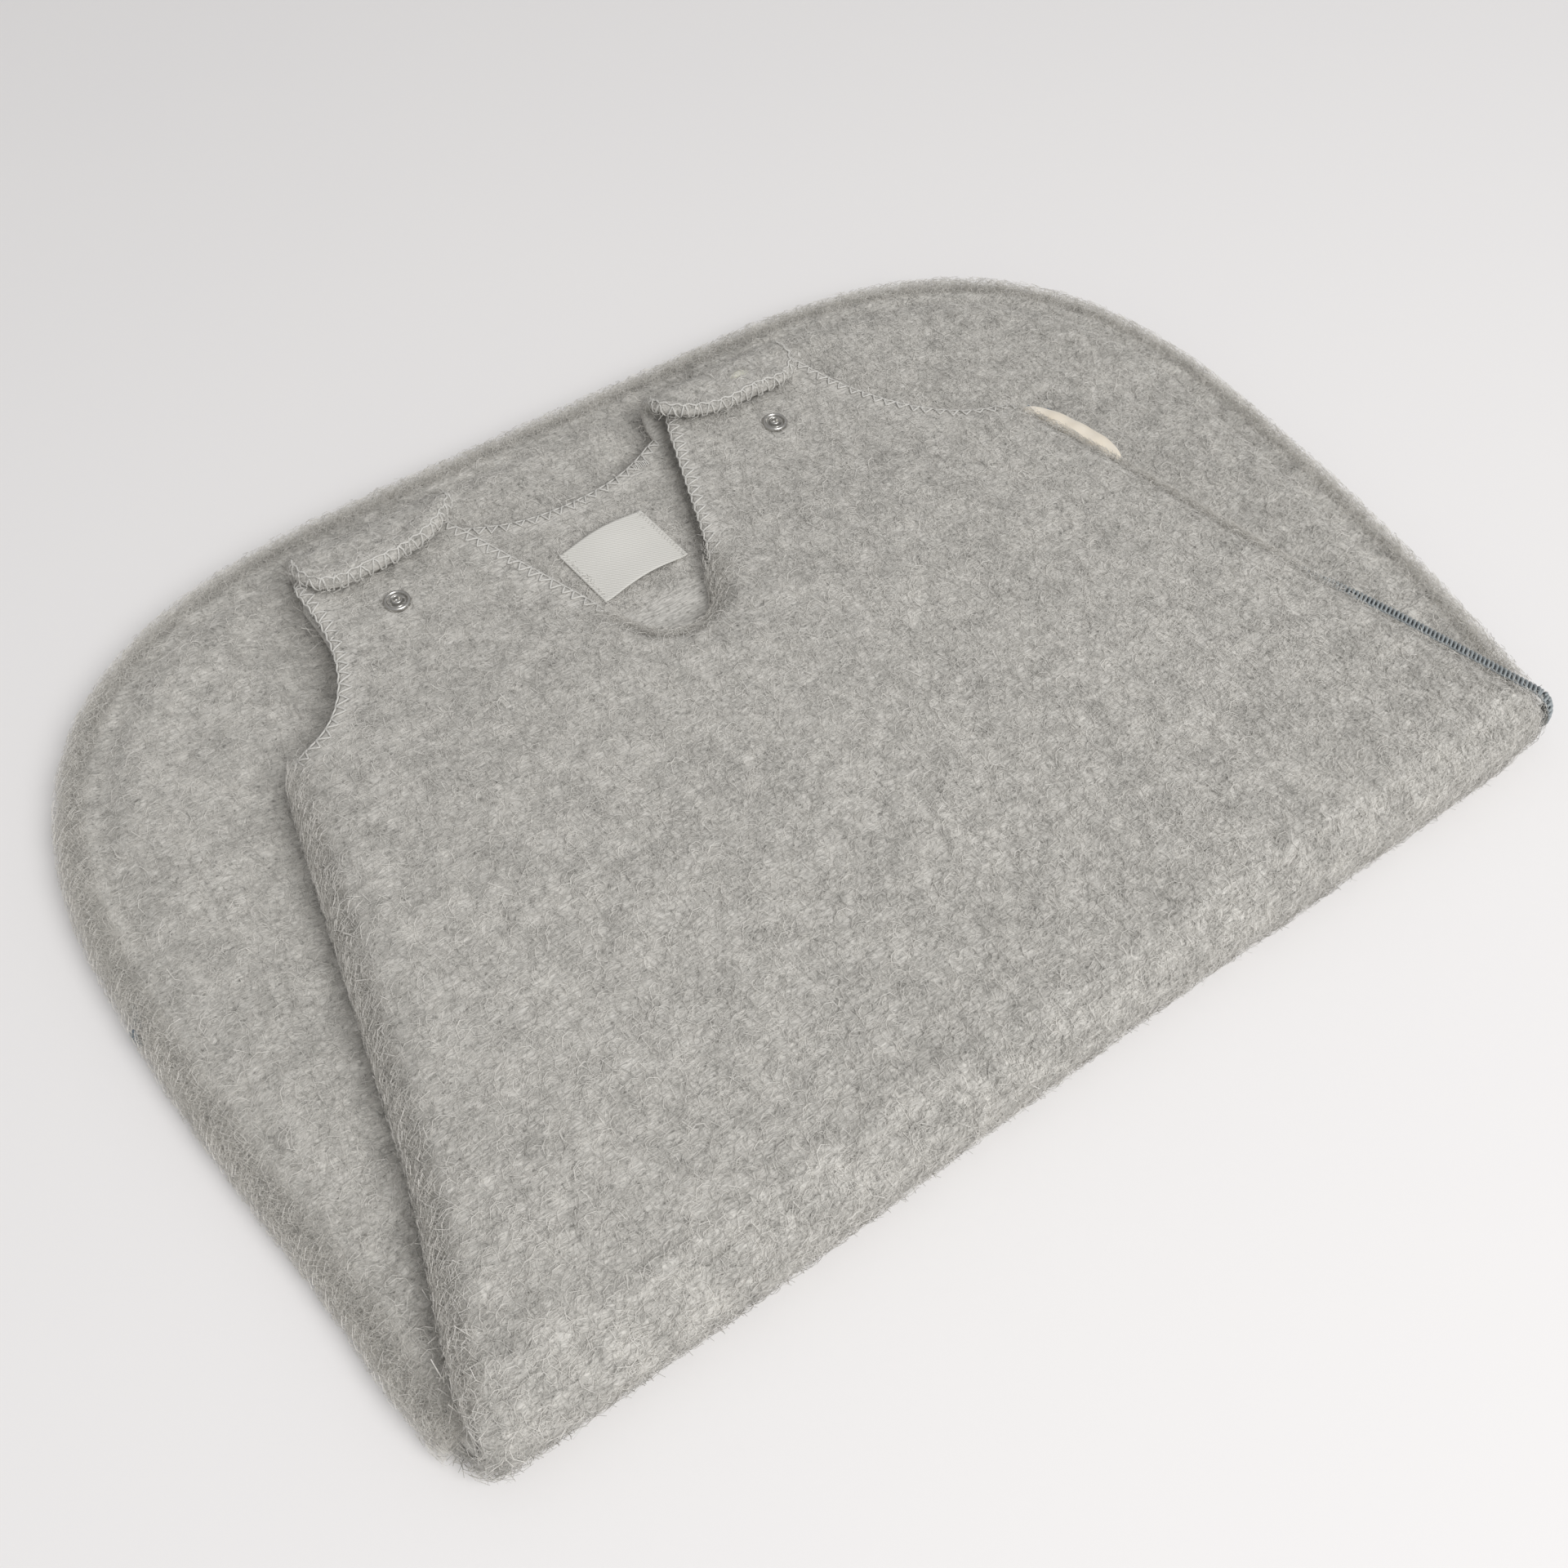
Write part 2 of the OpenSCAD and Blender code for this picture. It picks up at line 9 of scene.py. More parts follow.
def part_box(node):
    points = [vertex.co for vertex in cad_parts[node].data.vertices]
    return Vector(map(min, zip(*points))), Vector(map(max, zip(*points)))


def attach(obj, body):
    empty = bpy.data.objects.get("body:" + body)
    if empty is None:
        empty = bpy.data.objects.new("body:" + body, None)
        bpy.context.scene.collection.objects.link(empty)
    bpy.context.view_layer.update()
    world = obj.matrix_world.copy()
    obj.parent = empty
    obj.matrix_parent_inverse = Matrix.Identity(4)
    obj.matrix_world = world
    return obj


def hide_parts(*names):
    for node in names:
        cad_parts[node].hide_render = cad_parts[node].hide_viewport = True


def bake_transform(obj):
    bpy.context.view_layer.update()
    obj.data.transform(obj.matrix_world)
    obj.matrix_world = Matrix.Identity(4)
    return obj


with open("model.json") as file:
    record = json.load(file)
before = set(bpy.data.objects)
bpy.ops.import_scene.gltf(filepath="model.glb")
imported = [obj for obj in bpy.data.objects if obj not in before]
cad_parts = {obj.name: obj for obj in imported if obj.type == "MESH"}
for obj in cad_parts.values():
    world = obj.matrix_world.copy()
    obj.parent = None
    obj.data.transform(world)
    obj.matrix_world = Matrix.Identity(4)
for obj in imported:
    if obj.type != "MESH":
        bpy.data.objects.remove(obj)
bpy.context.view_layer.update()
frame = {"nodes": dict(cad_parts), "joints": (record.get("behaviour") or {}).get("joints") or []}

# ---- Front panel of the bag ----
# One piece of thick brushed wool fleece, cut to the shape of the whole bag: it lies on the
# table, turns up around the fold and is the top of the upper half. Its sides roll over
# towards the side seam and the zip, and its neck and armholes are cut edges.
MM = 0.001


def corners(node):
    """A CAD node's lowest and highest corners, in millimetres."""
    return [np.array(corner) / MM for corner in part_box(node)]


hinge = next(joint for joint in frame["joints"] if joint["name"] == "fold")["pos_m"]
FOLD_Y, FOLD_Z = hinge[1] / MM, hinge[2] / MM
FLEECE = corners("lower_front_panel")[1][2]
HALF_H = corners("lower_back_panel")[1][2]
MID_R = FOLD_Z - HALF_H / 2
FRONT_R = FOLD_Z - FLEECE / 2
BACK_R = FOLD_Z - HALF_H + FLEECE / 2
UNDERARM_Y = corners("upper_left_seam")[1][1] - FOLD_Y
ZIP_END_Y = corners("lower_left_seam")[1][1] - FOLD_Y
# The cut is laid out as points along its edge, rings beside it, and an even field inside.
EDGE_STEP, EDGE_SOFTNESS, GRID = 2.5, 5, 3.6
RING_DEPTHS = (0.3, 0.9, 1.8, 3.2, 5.2, 8, 11.5)
# Sewn edges roll over, stand out a little and leave a gap to the other panel. Towards the
# fold the seam sinks, and the zip comes into sight.
ROLL, SEWN_SOFTNESS, ARM_START = 9, 5, 4
SEAM_GAP, ZIP_GAP = 0.4, 2.6
SEAM_OUT, ZIP_OUT, UNDER_IN = 1.2, 1, 3.2
SEAM_DROP, SEAM_TURN, ZIP_LEVEL = 3.6, (0, 45), 0.6
ZIP_SHOWS, ZIP_BARE = (95, 165), 2.6
CORNER_OUT, CORNER_OUT_Y = 5, (5, 70)
# The fold stands out more at its left end, and is pressed in at its right corner.
FOLD_TIGHT, FOLD_LOOSE, FOLD_TURN_X = 0.84, 1.12, (-160, 40)
CORNER_IN, CORNER_IN_X = 0.45, (175, 228)


def outline(node):
    """The edge of a CAD panel's top, counter-clockwise from its right end, y from the fold."""
    mesh = frame["nodes"][node].data
    top = max(vertex.co.z for vertex in mesh.vertices)
    edges = set()
    for face in mesh.polygons:
        ring = [mesh.vertices[i].co for i in face.vertices]
        if min(co.z for co in ring) > top - 1e-5:
            flat = [(round(co.x / MM, 2), round(co.y / MM - FOLD_Y, 2)) for co in ring]
            edges.update(zip(flat, flat[1:] + flat[:1]))
    after = {a: b for a, b in edges if (b, a) not in edges}
    loops = []
    while after:
        loop = [min(after)]
        while loop[-1] in after:
            loop.append(after.pop(loop[-1]))
        loops.append(np.array(loop[:-1]))
    loop = max(loops, key=lambda points: np.ptp(points, axis=0).sum())
    start = np.argmin(np.abs(loop[:, 1]) * 10 - loop[:, 0])
    return np.roll(loop, -start, axis=0)


def resampled(points, step, closed=True):
    """Evenly spaced points along a line or around a closed edge."""
    ends = np.vstack([points, points[:1]]) if closed else np.asarray(points)
    along = np.concatenate([[0], np.cumsum(np.linalg.norm(np.diff(ends, axis=0), axis=1))])
    count = int(along[-1] / step)
    at = np.linspace(0, along[-1], count + 1)[: count if closed else count + 1]
    return np.stack([np.interp(at, along, ends[:, i]) for i in range(ends.shape[1])], 1)


def softened(values, reach):
    """Values around a closed edge, averaged with their neighbours."""
    for turn in range(int(2 * (reach / EDGE_STEP) ** 2)):
        values = (np.roll(values, 1, axis=0) + 2 * values + np.roll(values, -1, axis=0)) / 4
    return values


def outwards(edge):
    """The flat way out at each point of a closed edge."""
    along = np.roll(edge, -1, axis=0) - np.roll(edge, 1, axis=0)
    along /= np.linalg.norm(along, axis=1)[:, None]
    return np.stack([along[:, 1], -along[:, 0]], 1)


def smoothstep(value, low, high):
    """0 up to low and 1 from high on, with a soft rise between."""
    t = np.clip((value - low) / (high - low), 0, 1)
    return t * t * (3 - 2 * t)


LUMP_GAIN = 1.6


def lumps(points, size, seed):
    """Soft unevenness from about -1 to 1 over flat points, with lumps of about this size."""
    return np.array([noise.noise(Vector((x / size, y / size, seed))) for x, y in points]) * LUMP_GAIN


def tightness(x):
    """How far the fold stands out, as a share of its radius."""
    eased = FOLD_LOOSE - (FOLD_LOOSE - FOLD_TIGHT) * smoothstep(x, *FOLD_TURN_X)
    return eased - CORNER_IN * smoothstep(x, *CORNER_IN_X)


def add_object(name, data):
    """A new object in the scene for a mesh, a lamp or a camera."""
    made = bpy.data.objects.new(name, data)
    bpy.context.scene.collection.objects.link(made)
    return made


def mesh_piece(name, points, faces, material):
    """A smooth mesh object from points in millimetres and their faces, without loose points."""
    used, picked = np.unique(np.asarray(faces), return_inverse=True)
    mesh = bpy.data.meshes.new(name)
    mesh.from_pydata((points[used] * MM).tolist(), [], picked.reshape(np.shape(faces)).tolist())
    mesh.shade_smooth()
    mesh.materials.append(material)
    return add_object(name, mesh)


def linear(code):
    """An sRGB hex colour as linear red, green, blue and alpha."""
    values = [int(code[i : i + 2], 16) / 255 for i in (1, 3, 5)]
    return [v / 12.92 if v <= 0.04045 else ((v + 0.055) / 1.055) ** 2.4 for v in values] + [1]


def add_node(tree, kind, inputs=(), **settings):
    """A new node with its settings. An input takes a value, a socket, or a node's first output."""
    node = tree.nodes.new(kind)
    for name, value in settings.items():
        setattr(node, name, value)
    for name, value in dict(inputs).items():
        if isinstance(value, bpy.types.Node):
            value = value.outputs[0]
        if isinstance(value, bpy.types.NodeSocket):
            tree.links.new(value, node.inputs[name])
        else:
            node.inputs[name].default_value = value
    return node


def new_material(name):
    """An empty material and its tree."""
    material = bpy.data.materials.new(name)
    material.use_nodes = True
    material.node_tree.nodes.clear()
    return material, material.node_tree


WOOL_DARK, WOOL_LIGHT = "#7f7d78", "#dddad4"
CLOUD_MM, SPECK_MM, STRAND_MM, STRAND_LONG_MM = 9, 1.5, 0.7, 3.5


def wool(name, loose, paler_painted_light=0):
    """Wool fleece, undyed light and dark grey wool blended, knitted, milled and brushed up on
    both faces: matt and cloudy, with dark specks, a halo of light hairs and no gloss. The
    pressed cloth shows streaks of strands, and each loose hair has its own shade. A paler
    shade given to the fuzz is painted light, for light shining through its fine hairs."""
    material, tree = new_material(name)
    place = add_node(tree, "ShaderNodeTexCoord").outputs["Object"]
    across, along = 1 / (STRAND_MM * MM), 1 / (STRAND_LONG_MM * MM)
    clouds = add_node(
        tree, "ShaderNodeTexNoise",
        {"Vector": place, "Scale": 1 / (CLOUD_MM * MM), "Detail": 5, "Roughness": 0.6},
    )
    specks = add_node(
        tree, "ShaderNodeTexNoise", {"Vector": place, "Scale": 1 / (SPECK_MM * MM), "Detail": 2},
    )
    drawn = add_node(tree, "ShaderNodeMapping", {"Vector": place, "Scale": (along, across, across)})
    strands = add_node(
        tree, "ShaderNodeTexNoise", {"Vector": drawn, "Scale": 1, "Detail": 3, "Distortion": 0.6},
    )
    hair = add_node(tree, "ShaderNodeAttribute", attribute_name="shade").outputs["Fac"]
    shades = []
    # A paler lift raises the cloud shades of the fuzz: painted light, not the wool's own colour.
    for pattern, seen, given in (
        (hair if loose else strands, (0, 1) if loose else (0.3, 0.7), (-0.3, 0.3)),
        (clouds, (0.3, 0.7), (0.53 + paler_painted_light, 0.83 + paler_painted_light)),
        (specks, (0.56, 0.72), (0, -0.4)),
    ):
        ranges = {"From Min": seen[0], "From Max": seen[1], "To Min": given[0], "To Max": given[1]}
        shades.append(add_node(tree, "ShaderNodeMapRange", {"Value": pattern, **ranges}))
    both = add_node(tree, "ShaderNodeMath", {0: shades[0], 1: shades[1]}, operation="ADD")
    shade = add_node(tree, "ShaderNodeMath", {0: both, 1: shades[2]}, operation="ADD", use_clamp=True)
    colour = add_node(
        tree, "ShaderNodeMix", {0: shade, 6: linear(WOOL_DARK), 7: linear(WOOL_LIGHT)}, data_type="RGBA",
    )
    matt = {"Roughness": 0.9, "Specular IOR Level": 0.15, "Sheen Weight": 0.15}
    shader = add_node(tree, "ShaderNodeBsdfPrincipled", {"Base Color": colour.outputs[2], **matt})
    if not loose:
        bump = add_node(tree, "ShaderNodeBump", {"Height": strands, "Strength": 0.7, "Distance": 0.6 * MM})
        tree.links.new(bump.outputs[0], shader.inputs["Normal"])
    add_node(tree, "ShaderNodeOutputMaterial", {0: shader})
    return material


wool_cloth = wool("Brushed wool fleece", False)
wool_hair = wool("Loose wool pile", True)
# The fuzz is made paler than the pile: painted light, so the edge hairs look lit through.
wool_fuzz_painted_lit = wool("Loose wool fuzz with painted light", True, 0.3)


class Cloth:
    """A piece of fleece laid out flat: its edge, the triangles inside it, and where they go."""

    def __init__(self, edge, sewn, gap, halved=False):
        self.edge, self.sewn, self.gap, self.drops = edge, sewn, gap, 0
        rings = [edge]
        for depth in RING_DEPTHS:
            ring = (edge - outwards(edge) * depth)[:: 1 if depth < 4 else 2]
            rings.append(ring[self.beside(ring)[0] > depth * 0.97])
        low, high = edge.min(0), edge.max(0)
        xs, ys = np.meshgrid(np.arange(low[0], high[0], GRID), np.arange(low[1], high[1], GRID * 0.87))
        xs[::2] += GRID / 2
        grid = np.stack([xs.ravel(), ys.ravel()], 1)
        grid += np.random.default_rng(3).uniform(-0.5, 0.5, grid.shape)
        deep = self.beside(grid)[0] > RING_DEPTHS[-1] + GRID * 0.7
        rings.append(grid[deep & self.inside(grid) & ((abs(grid[:, 1]) > GRID / 2) | (not halved))])
        cuts = []
        if halved:
            along = np.arange(low[0] - 2, high[0] + 2 + GRID, GRID)
            first = sum(map(len, rings))
            cuts = [(first + i, first + i + 1) for i in range(len(along) - 1)]
            rings.append(np.column_stack([along, 0 * along]))
        points = [Vector(point) for point in np.vstack(rings)]
        found = geometry.delaunay_2d_cdt(points, cuts, [list(range(len(edge)))], 1, 1e-5, True)
        flat, faces = np.array([tuple(point) for point in found[0]]), np.array(found[2])
        faces = faces[self.inside(flat[faces].mean(1))]
        used, faces = np.unique(faces, return_inverse=True)
        self.flat, self.faces = flat[used], faces.reshape(-1, 3)
        self.middles = self.flat[self.faces].mean(1)
        self.rim = np.array([min(found[3][i], default=0) < len(edge) for i in used])
        self.depth, self.closed, self.gaps = self.beside(self.flat)
        self.depth[self.rim] = 0

    def beside(self, points):
        """Each point's distance from the edge, and how sewn and how far apart it is there."""
        a, b = self.edge, np.roll(self.edge, -1, axis=0)
        found = []
        for part in np.array_split(points, max(1, len(points) // 1000)):
            run, off = b - a, part[:, None] - a[None]
            t = np.clip((off * run).sum(2) / (run * run).sum(1), 0, 1)
            far = np.linalg.norm(off - t[..., None] * run, axis=2)
            i = far.argmin(1)
            t = t[np.arange(len(part)), i]
            mixed = [v[i] * (1 - t) + np.roll(v, -1)[i] * t for v in (self.sewn, self.gap)]
            found.append(np.stack([far.min(1), *mixed], 1))
        return np.vstack(found).T

    def inside(self, points):
        """Whether each point lies inside the edge."""
        crossed = np.zeros(len(points), int)
        for p, q in zip(self.edge, np.roll(self.edge, -1, axis=0)):
            if p[1] != q[1]:
                between = (p[1] > points[:, 1]) != (q[1] > points[:, 1])
                at = p[0] + (points[:, 1] - p[1]) * (q[0] - p[0]) / (q[1] - p[1])
                crossed += between & (points[:, 0] < at)
        return crossed % 2 == 1

    def heights(self):
        """Heights of the outer and inner faces over the fleece's middle."""
        half = FLEECE / 2
        rim = half - HALF_H / 2 + self.gaps + self.drops
        roll = 1 - (1 - np.clip(self.depth / ROLL, 0, 1)) ** 2
        turned = rim + (half - rim) * roll ** 0.45
        lining = rim + (-half - rim) * smoothstep(self.depth, 1, ROLL)
        cut = half * np.sqrt(1 - (1 - np.clip(self.depth / half, 0, 1)) ** 2)
        bare = 1 - self.closed
        return self.closed * turned + bare * cut, self.closed * lining - bare * cut

    def flat_uv(self, piece, outer_faces):
        """Lays both faces of the cut side by side in the piece's map."""
        mesh = piece.data
        point_of = np.zeros(len(mesh.loops), int)
        mesh.loops.foreach_get("vertex_index", point_of)
        flat = np.vstack([self.flat, self.flat])[self.kept[point_of]]
        under = np.repeat(np.arange(len(mesh.polygons)) >= outer_faces, 3)
        low, size = self.flat.min(0), np.ptp(self.flat, axis=0)
        uv = (flat - low) / size
        uv[:, 0] = (uv[:, 0] + under) / 2
        mesh.uv_layers.new(name="OFBake").data.foreach_set("uv", uv.ravel().astype(np.float32))

    def skin(self, name, outer, inner, part=True):
        """The closed piece: outer and inner faces that share their rim. Where only a part of
        the faces is picked, walls close it along the cut."""
        count = len(self.flat)
        twin = np.where(self.rim, np.arange(count), np.arange(count) + count)
        points = np.vstack([self.place(self.flat, outer), self.place(self.flat, inner)])
        up, down = (self.faces, self.faces[:, ::-1])[:: self.side]
        self.outer, self.lining = (points, up), (points, twin[down])
        picked = np.broadcast_to(part, len(up))
        up, down = up[picked], twin[down[picked]]
        sides = {(a, b) for ring in up.tolist() for a, b in zip(ring, ring[1:] + ring[:1])}
        cut = [(a, b) for a, b in sorted(sides) if (b, a) not in sides]
        walls = [wall for a, b in cut for wall in ((b, a, twin[a]), (b, twin[a], twin[b]))]
        walls = [wall for wall in walls if len(set(wall)) == 3]
        faces = np.vstack([up, down] + [walls] * bool(walls))
        piece = mesh_piece(name, points, faces, wool_cloth)
        self.kept = np.unique(faces)
        self.flat_uv(piece, len(up))
        return piece


class Panel(Cloth):
    """A front or back panel: x across the bag, w along it from the fold's middle."""

    def __init__(self, lower, upper, radius, side):
        self.radius, self.side, self.bend = radius, side, radius * math.pi / 2
        top, foot = outline(upper), outline(lower)[::-1]
        top = top[top[:, 1] > 1] + [0, self.bend]
        foot = foot[foot[:, 1] > 1] * [1, -1] - [0, self.bend]
        edge = softened(resampled(np.vstack([top, foot]), EDGE_STEP), EDGE_SOFTNESS)
        y = np.abs(edge[:, 1]) - self.bend
        above, below = edge[:, 1] > self.bend, edge[:, 1] < -self.bend
        sewn = ~above | (y < UNDERARM_Y - ARM_START)
        zipped = sewn & ((edge[:, 0] > 0) | (below & (y > ZIP_END_Y)))
        under = below if side > 0 else ~below
        parts = (sewn, zipped, under)
        sewn, zipped, under = (softened(part.astype(float), SEWN_SOFTNESS) for part in parts)
        if side > 0:
            under *= smoothstep(y, *SEAM_TURN)
        corner = CORNER_OUT * (1 - smoothstep(y, *CORNER_OUT_Y)) * (edge[:, 0] < 0)
        shown = zipped * (1 - smoothstep(y, *ZIP_SHOWS)) * smoothstep(edge[:, 1], -self.bend, self.bend)
        out = (SEAM_OUT + (ZIP_OUT - SEAM_OUT) * zipped - UNDER_IN * under + corner) * sewn
        out -= ZIP_BARE * shown * (side > 0)
        gap = SEAM_GAP + (ZIP_GAP - SEAM_GAP) * zipped
        super().__init__(edge + outwards(edge) * out[:, None], sewn, gap, side < 0)
        self.y = np.abs(self.flat[:, 1]) - self.bend
        self.upper, self.lower = self.flat[:, 1] > self.bend, self.flat[:, 1] < -self.bend
        self.zipped = (self.gaps - SEAM_GAP) / (ZIP_GAP - SEAM_GAP)
        down = np.where(self.upper if side > 0 else self.lower, -1, 1)
        level = ZIP_LEVEL * self.zipped * (1 - smoothstep(self.y, *ZIP_SHOWS))
        self.drops = down * SEAM_DROP * smoothstep(self.y, *SEAM_TURN) * (1 - level)

    def place(self, flat, height):
        """Points of the folded panel at a height over its middle."""
        x, w = flat.T
        r = self.radius + self.side * height
        turn = np.clip(w, -self.bend, self.bend) / self.radius
        y = np.abs(w) - self.bend
        y = np.where(y > 0, y, -r * np.cos(turn) * tightness(x))
        return np.stack([x, y + FOLD_Y, FOLD_Z + r * np.sin(turn)], 1)


def fold_over(piece):
    """Bakes the piece's placement into its mesh; the piece is not tied to either half."""
    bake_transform(piece)


def uneven(cloth, waves):
    """Lumps of several heights and sizes, each with its own seed."""
    return sum(high * lumps(cloth.flat, size, seed) for high, size, seed in waves)


def from_stud(x, y):
    """How far the front panel's points lie from a stud."""
    return np.linalg.norm(front.flat - [x, y - FOLD_Y + front.bend], axis=1)


SNAP_DIP, SNAP_REACH = 0.5, 12
FULLNESS, FULL_FROM_EDGE, FULL_TO = 2.8, 9, (190, 245)
FRONT_WAVES, WAVES_FROM_EDGE = ((0.9, 75, 1.5), (0.45, 28, 7.5)), 14
stud_places = []
for node in ("left_studs", "right_studs"):
    low, high = corners(node)
    radius = (high[0] - low[0]) / 2
    for y in (low[1] + radius, high[1] - radius):
        stud_places.append(((low[0] + high[0]) / 2, y, high[2], radius))

front = Panel("lower_front_panel", "upper_front_panel", FRONT_R, 1)
outer, inner = front.heights()
swell = uneven(front, FRONT_WAVES)
swell *= smoothstep(front.depth, 0, WAVES_FROM_EDGE) * smoothstep(
    front.flat[:, 1], -front.bend, front.bend,
)
full = FULLNESS * smoothstep(front.depth, 0, FULL_FROM_EDGE) * front.upper
swell += full * (1 - smoothstep(front.y, *FULL_TO))
for x, y, z, radius in stud_places:
    far = from_stud(x, y)
    swell = swell * smoothstep(far, radius, radius + SNAP_REACH) - SNAP_DIP * (far < radius + 1)
front_piece = front.skin("front_panel", outer + swell, inner + swell)
fold_over(front_piece)
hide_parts("lower_front_panel", "front_fold", "upper_front_panel")
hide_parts("lower_left_seam", "fold_left_seam", "upper_left_seam")

# ---- Back panel of the bag ----
# A second piece of the same fleece under the front panel. Its lower half shows all round the
# upper half, with a row of topstitching that pulls a shallow groove beside its edge. Its
# crease is so tight that the two halves are pieces of their own, which meet at the fold.
STITCH_DEPTH, GROOVE_W, GROOVE_DEEP, GROOVE_FROM = 13, 2.6, 1.8, (4, 30)
SINK, SINK_REACH, SINK_UNDER = 4.6, 34, (-34, -16)
SINK_FROM_FOLD, SINK_FROM_EDGE, CLEAR_REACH = (0, 30), (6, 22), (0, 16)
PUFF, PUFF_RISE, PUFF_FALL = 1.2, (13, 20), (24, 40)
BACK_WAVES, BACK_WAVES_FROM = ((0.9, 60, 3.5), (0.5, 24, 9.5)), (2, 14)
back = Panel("lower_back_panel", "upper_back_panel", BACK_R, -1)
outer, inner = back.heights()
lying = np.stack([back.flat[:, 0], back.y + front.bend], 1)
covered = front.inside(lying)
from_front = front.beside(lying)[0]
clear = np.where(covered & back.lower, 0, smoothstep(from_front, *CLEAR_REACH)) * back.lower
puff = PUFF * smoothstep(back.depth, *PUFF_RISE) * (1 - smoothstep(back.depth, *PUFF_FALL))
under = from_front * np.where(covered, -1, 1)
sunk = SINK * smoothstep(under, *SINK_UNDER) * (1 - smoothstep(under, 0, SINK_REACH)) * back.lower
sunk *= smoothstep(back.y, *SINK_FROM_FOLD) * smoothstep(back.depth, *SINK_FROM_EDGE)
groove = GROOVE_DEEP * np.exp(-((back.depth - STITCH_DEPTH) / GROOVE_W) ** 2) * back.lower
swell = clear * (puff + uneven(back, BACK_WAVES) * smoothstep(back.depth, *BACK_WAVES_FROM))
outer = outer + swell - groove * smoothstep(back.y, *GROOVE_FROM)
outer, inner = outer - sunk, inner - sunk
below = back.middles[:, 1] < 0
for half, part, nodes in (
    ("lower", below, ("lower_back_panel", "back_fold")),
    ("upper", ~below, ("upper_back_panel",)),
):
    piece = back.skin(f"back_panel_{half}", outer, inner, part)
    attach(piece, half + "_half")
    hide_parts(*nodes)

# ---- Shoulder straps ----
# The back panel runs on over each shoulder as a short strap that turns forward and lies on
# the front panel. Its free edge is a cut edge that curls up into a soft roll.
STRAP_JOIN = 6
SHOULDER_Y = corners("left_strap")[1][1]
STRAP_LOW, STRAP_HIGH = 19, 30.2
CAP_COVER, COVER_REACH, CAP_BARE = 0.35, (6.4, 12), 1.6
STRAP_FREE, STRAP_EDGE_SOFT, JOIN_THINNER = (-4, 5), 1.2, 0.15
CURL_W, VALLEY, VALLEY_AT, VALLEY_W, HUMP_W = 1.1, 1.1, 2.9, 4, 22
STRAP_WAVES = ((0.35, 14, 4.5),)


class Strap(Cloth):
    """A strap: x across it, s along it from the back panel, round the bend and forward."""

    def __init__(self, name, curl, rise, hump):
        flap, bend = corners(name), corners(name + "_bend")
        self.side = -1
        self.bend_z = (bend[0][2] + bend[1][2]) / 2
        self.bend_r = bend[1][2] - self.bend_z - FLEECE / 2
        self.turned = STRAP_JOIN + self.bend_r * math.pi
        cap = corners(name.replace("strap", "cap"))
        self.cap, self.cap_r = (cap[0] + cap[1]) / 2, (cap[1][0] - cap[0][0]) / 2
        self.cap_top = cap[1][2] + CAP_COVER - self.bend_z - self.bend_r
        self.curl, self.rise, self.hump, self.neck_side = curl, rise, hump, flap[0][0]
        if name.startswith("left"):
            self.neck_side = flap[1][0]
        free = outline(name) + [0, FOLD_Y]
        free = free[free[:, 1] < SHOULDER_Y - 0.1]
        free = free[np.argsort(-free[:, 0])]
        free[:, 1] = self.turned + SHOULDER_Y - free[:, 1]
        low, high = flap[0][0], flap[1][0]
        edge = np.vstack([[(low, 0), (high, 0)], free])
        edge = softened(resampled(edge, EDGE_STEP / 2), STRAP_EDGE_SOFT)
        super().__init__(edge, np.zeros(len(edge)), np.zeros(len(edge)))

    def place(self, flat, height):
        """Points of the bent strap at a height over its middle."""
        x, s = flat.T
        turn = (np.clip(s, STRAP_JOIN, self.turned) - STRAP_JOIN) / self.bend_r - math.pi / 2
        r = self.bend_r + height
        y = SHOULDER_Y + r * np.cos(turn) - np.maximum(s - self.turned, 0) + np.minimum(s - STRAP_JOIN, 0)
        return np.stack([x, y, self.bend_z + r * np.sin(turn)], 1)

    def shape(self):
        """Heights of both faces: thick and rolled up towards the free edge."""
        free = smoothstep(self.flat[:, 1], *(self.turned + off for off in STRAP_FREE))
        d = self.depth
        roll = free * np.exp(-(((d - self.curl) / (CURL_W * self.curl)) ** 2))
        half = FLEECE / 2 + (self.curl - FLEECE / 2) * roll
        half = half - JOIN_THINNER * (self.flat[:, 1] < STRAP_JOIN)
        close = FLEECE / 2 + (self.curl - FLEECE / 2) * free
        half = half * np.sqrt(1 - (1 - np.clip(d / close, 0, 1)) ** 2)
        near_neck = np.exp(-(((self.flat[:, 0] - self.neck_side) / HUMP_W) ** 2))
        lift = free * (self.rise * (1 - smoothstep(d, 2, 12)) + self.hump * near_neck)
        valley = VALLEY * free * np.exp(-(((d - VALLEY_AT * self.curl) / VALLEY_W) ** 2))
        wave = uneven(self, STRAP_WAVES) * smoothstep(d, 0, 4)
        top = lift + half - valley + wave
        off = self.flat - [self.cap[0], self.turned + SHOULDER_Y - self.cap[1]]
        far = np.linalg.norm(off, axis=1)
        cover = 1 - smoothstep(far, *COVER_REACH)
        shows = self.bare * smoothstep(-off[:, 1], 1.8, 3) * (far < self.cap_r + 0.6)
        top = np.maximum(top, top + (self.cap_top - top) * cover) - CAP_BARE * shows
        return top, lift - half + wave


strap_pieces = {}
for name, curl, rise, hump, bare in (("left_strap", 3.7, 0.7, 4, 0), ("right_strap", 2.9, 0.3, 2.2, 1)):
    strap = Strap(name, curl, rise, hump)
    strap.bare = bare
    strap.piece = strap.skin(name + "_cloth", *strap.shape())
    mid_x = strap.flat[:, 0].mean() * MM
    strap.turn_at = [(mid_x, (SHOULDER_Y + strap.bend_r) * MM, z * MM) for z in (STRAP_LOW, STRAP_HIGH)]
    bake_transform(strap.piece)
    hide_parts(name, name + "_bend")
    strap_pieces[name] = strap

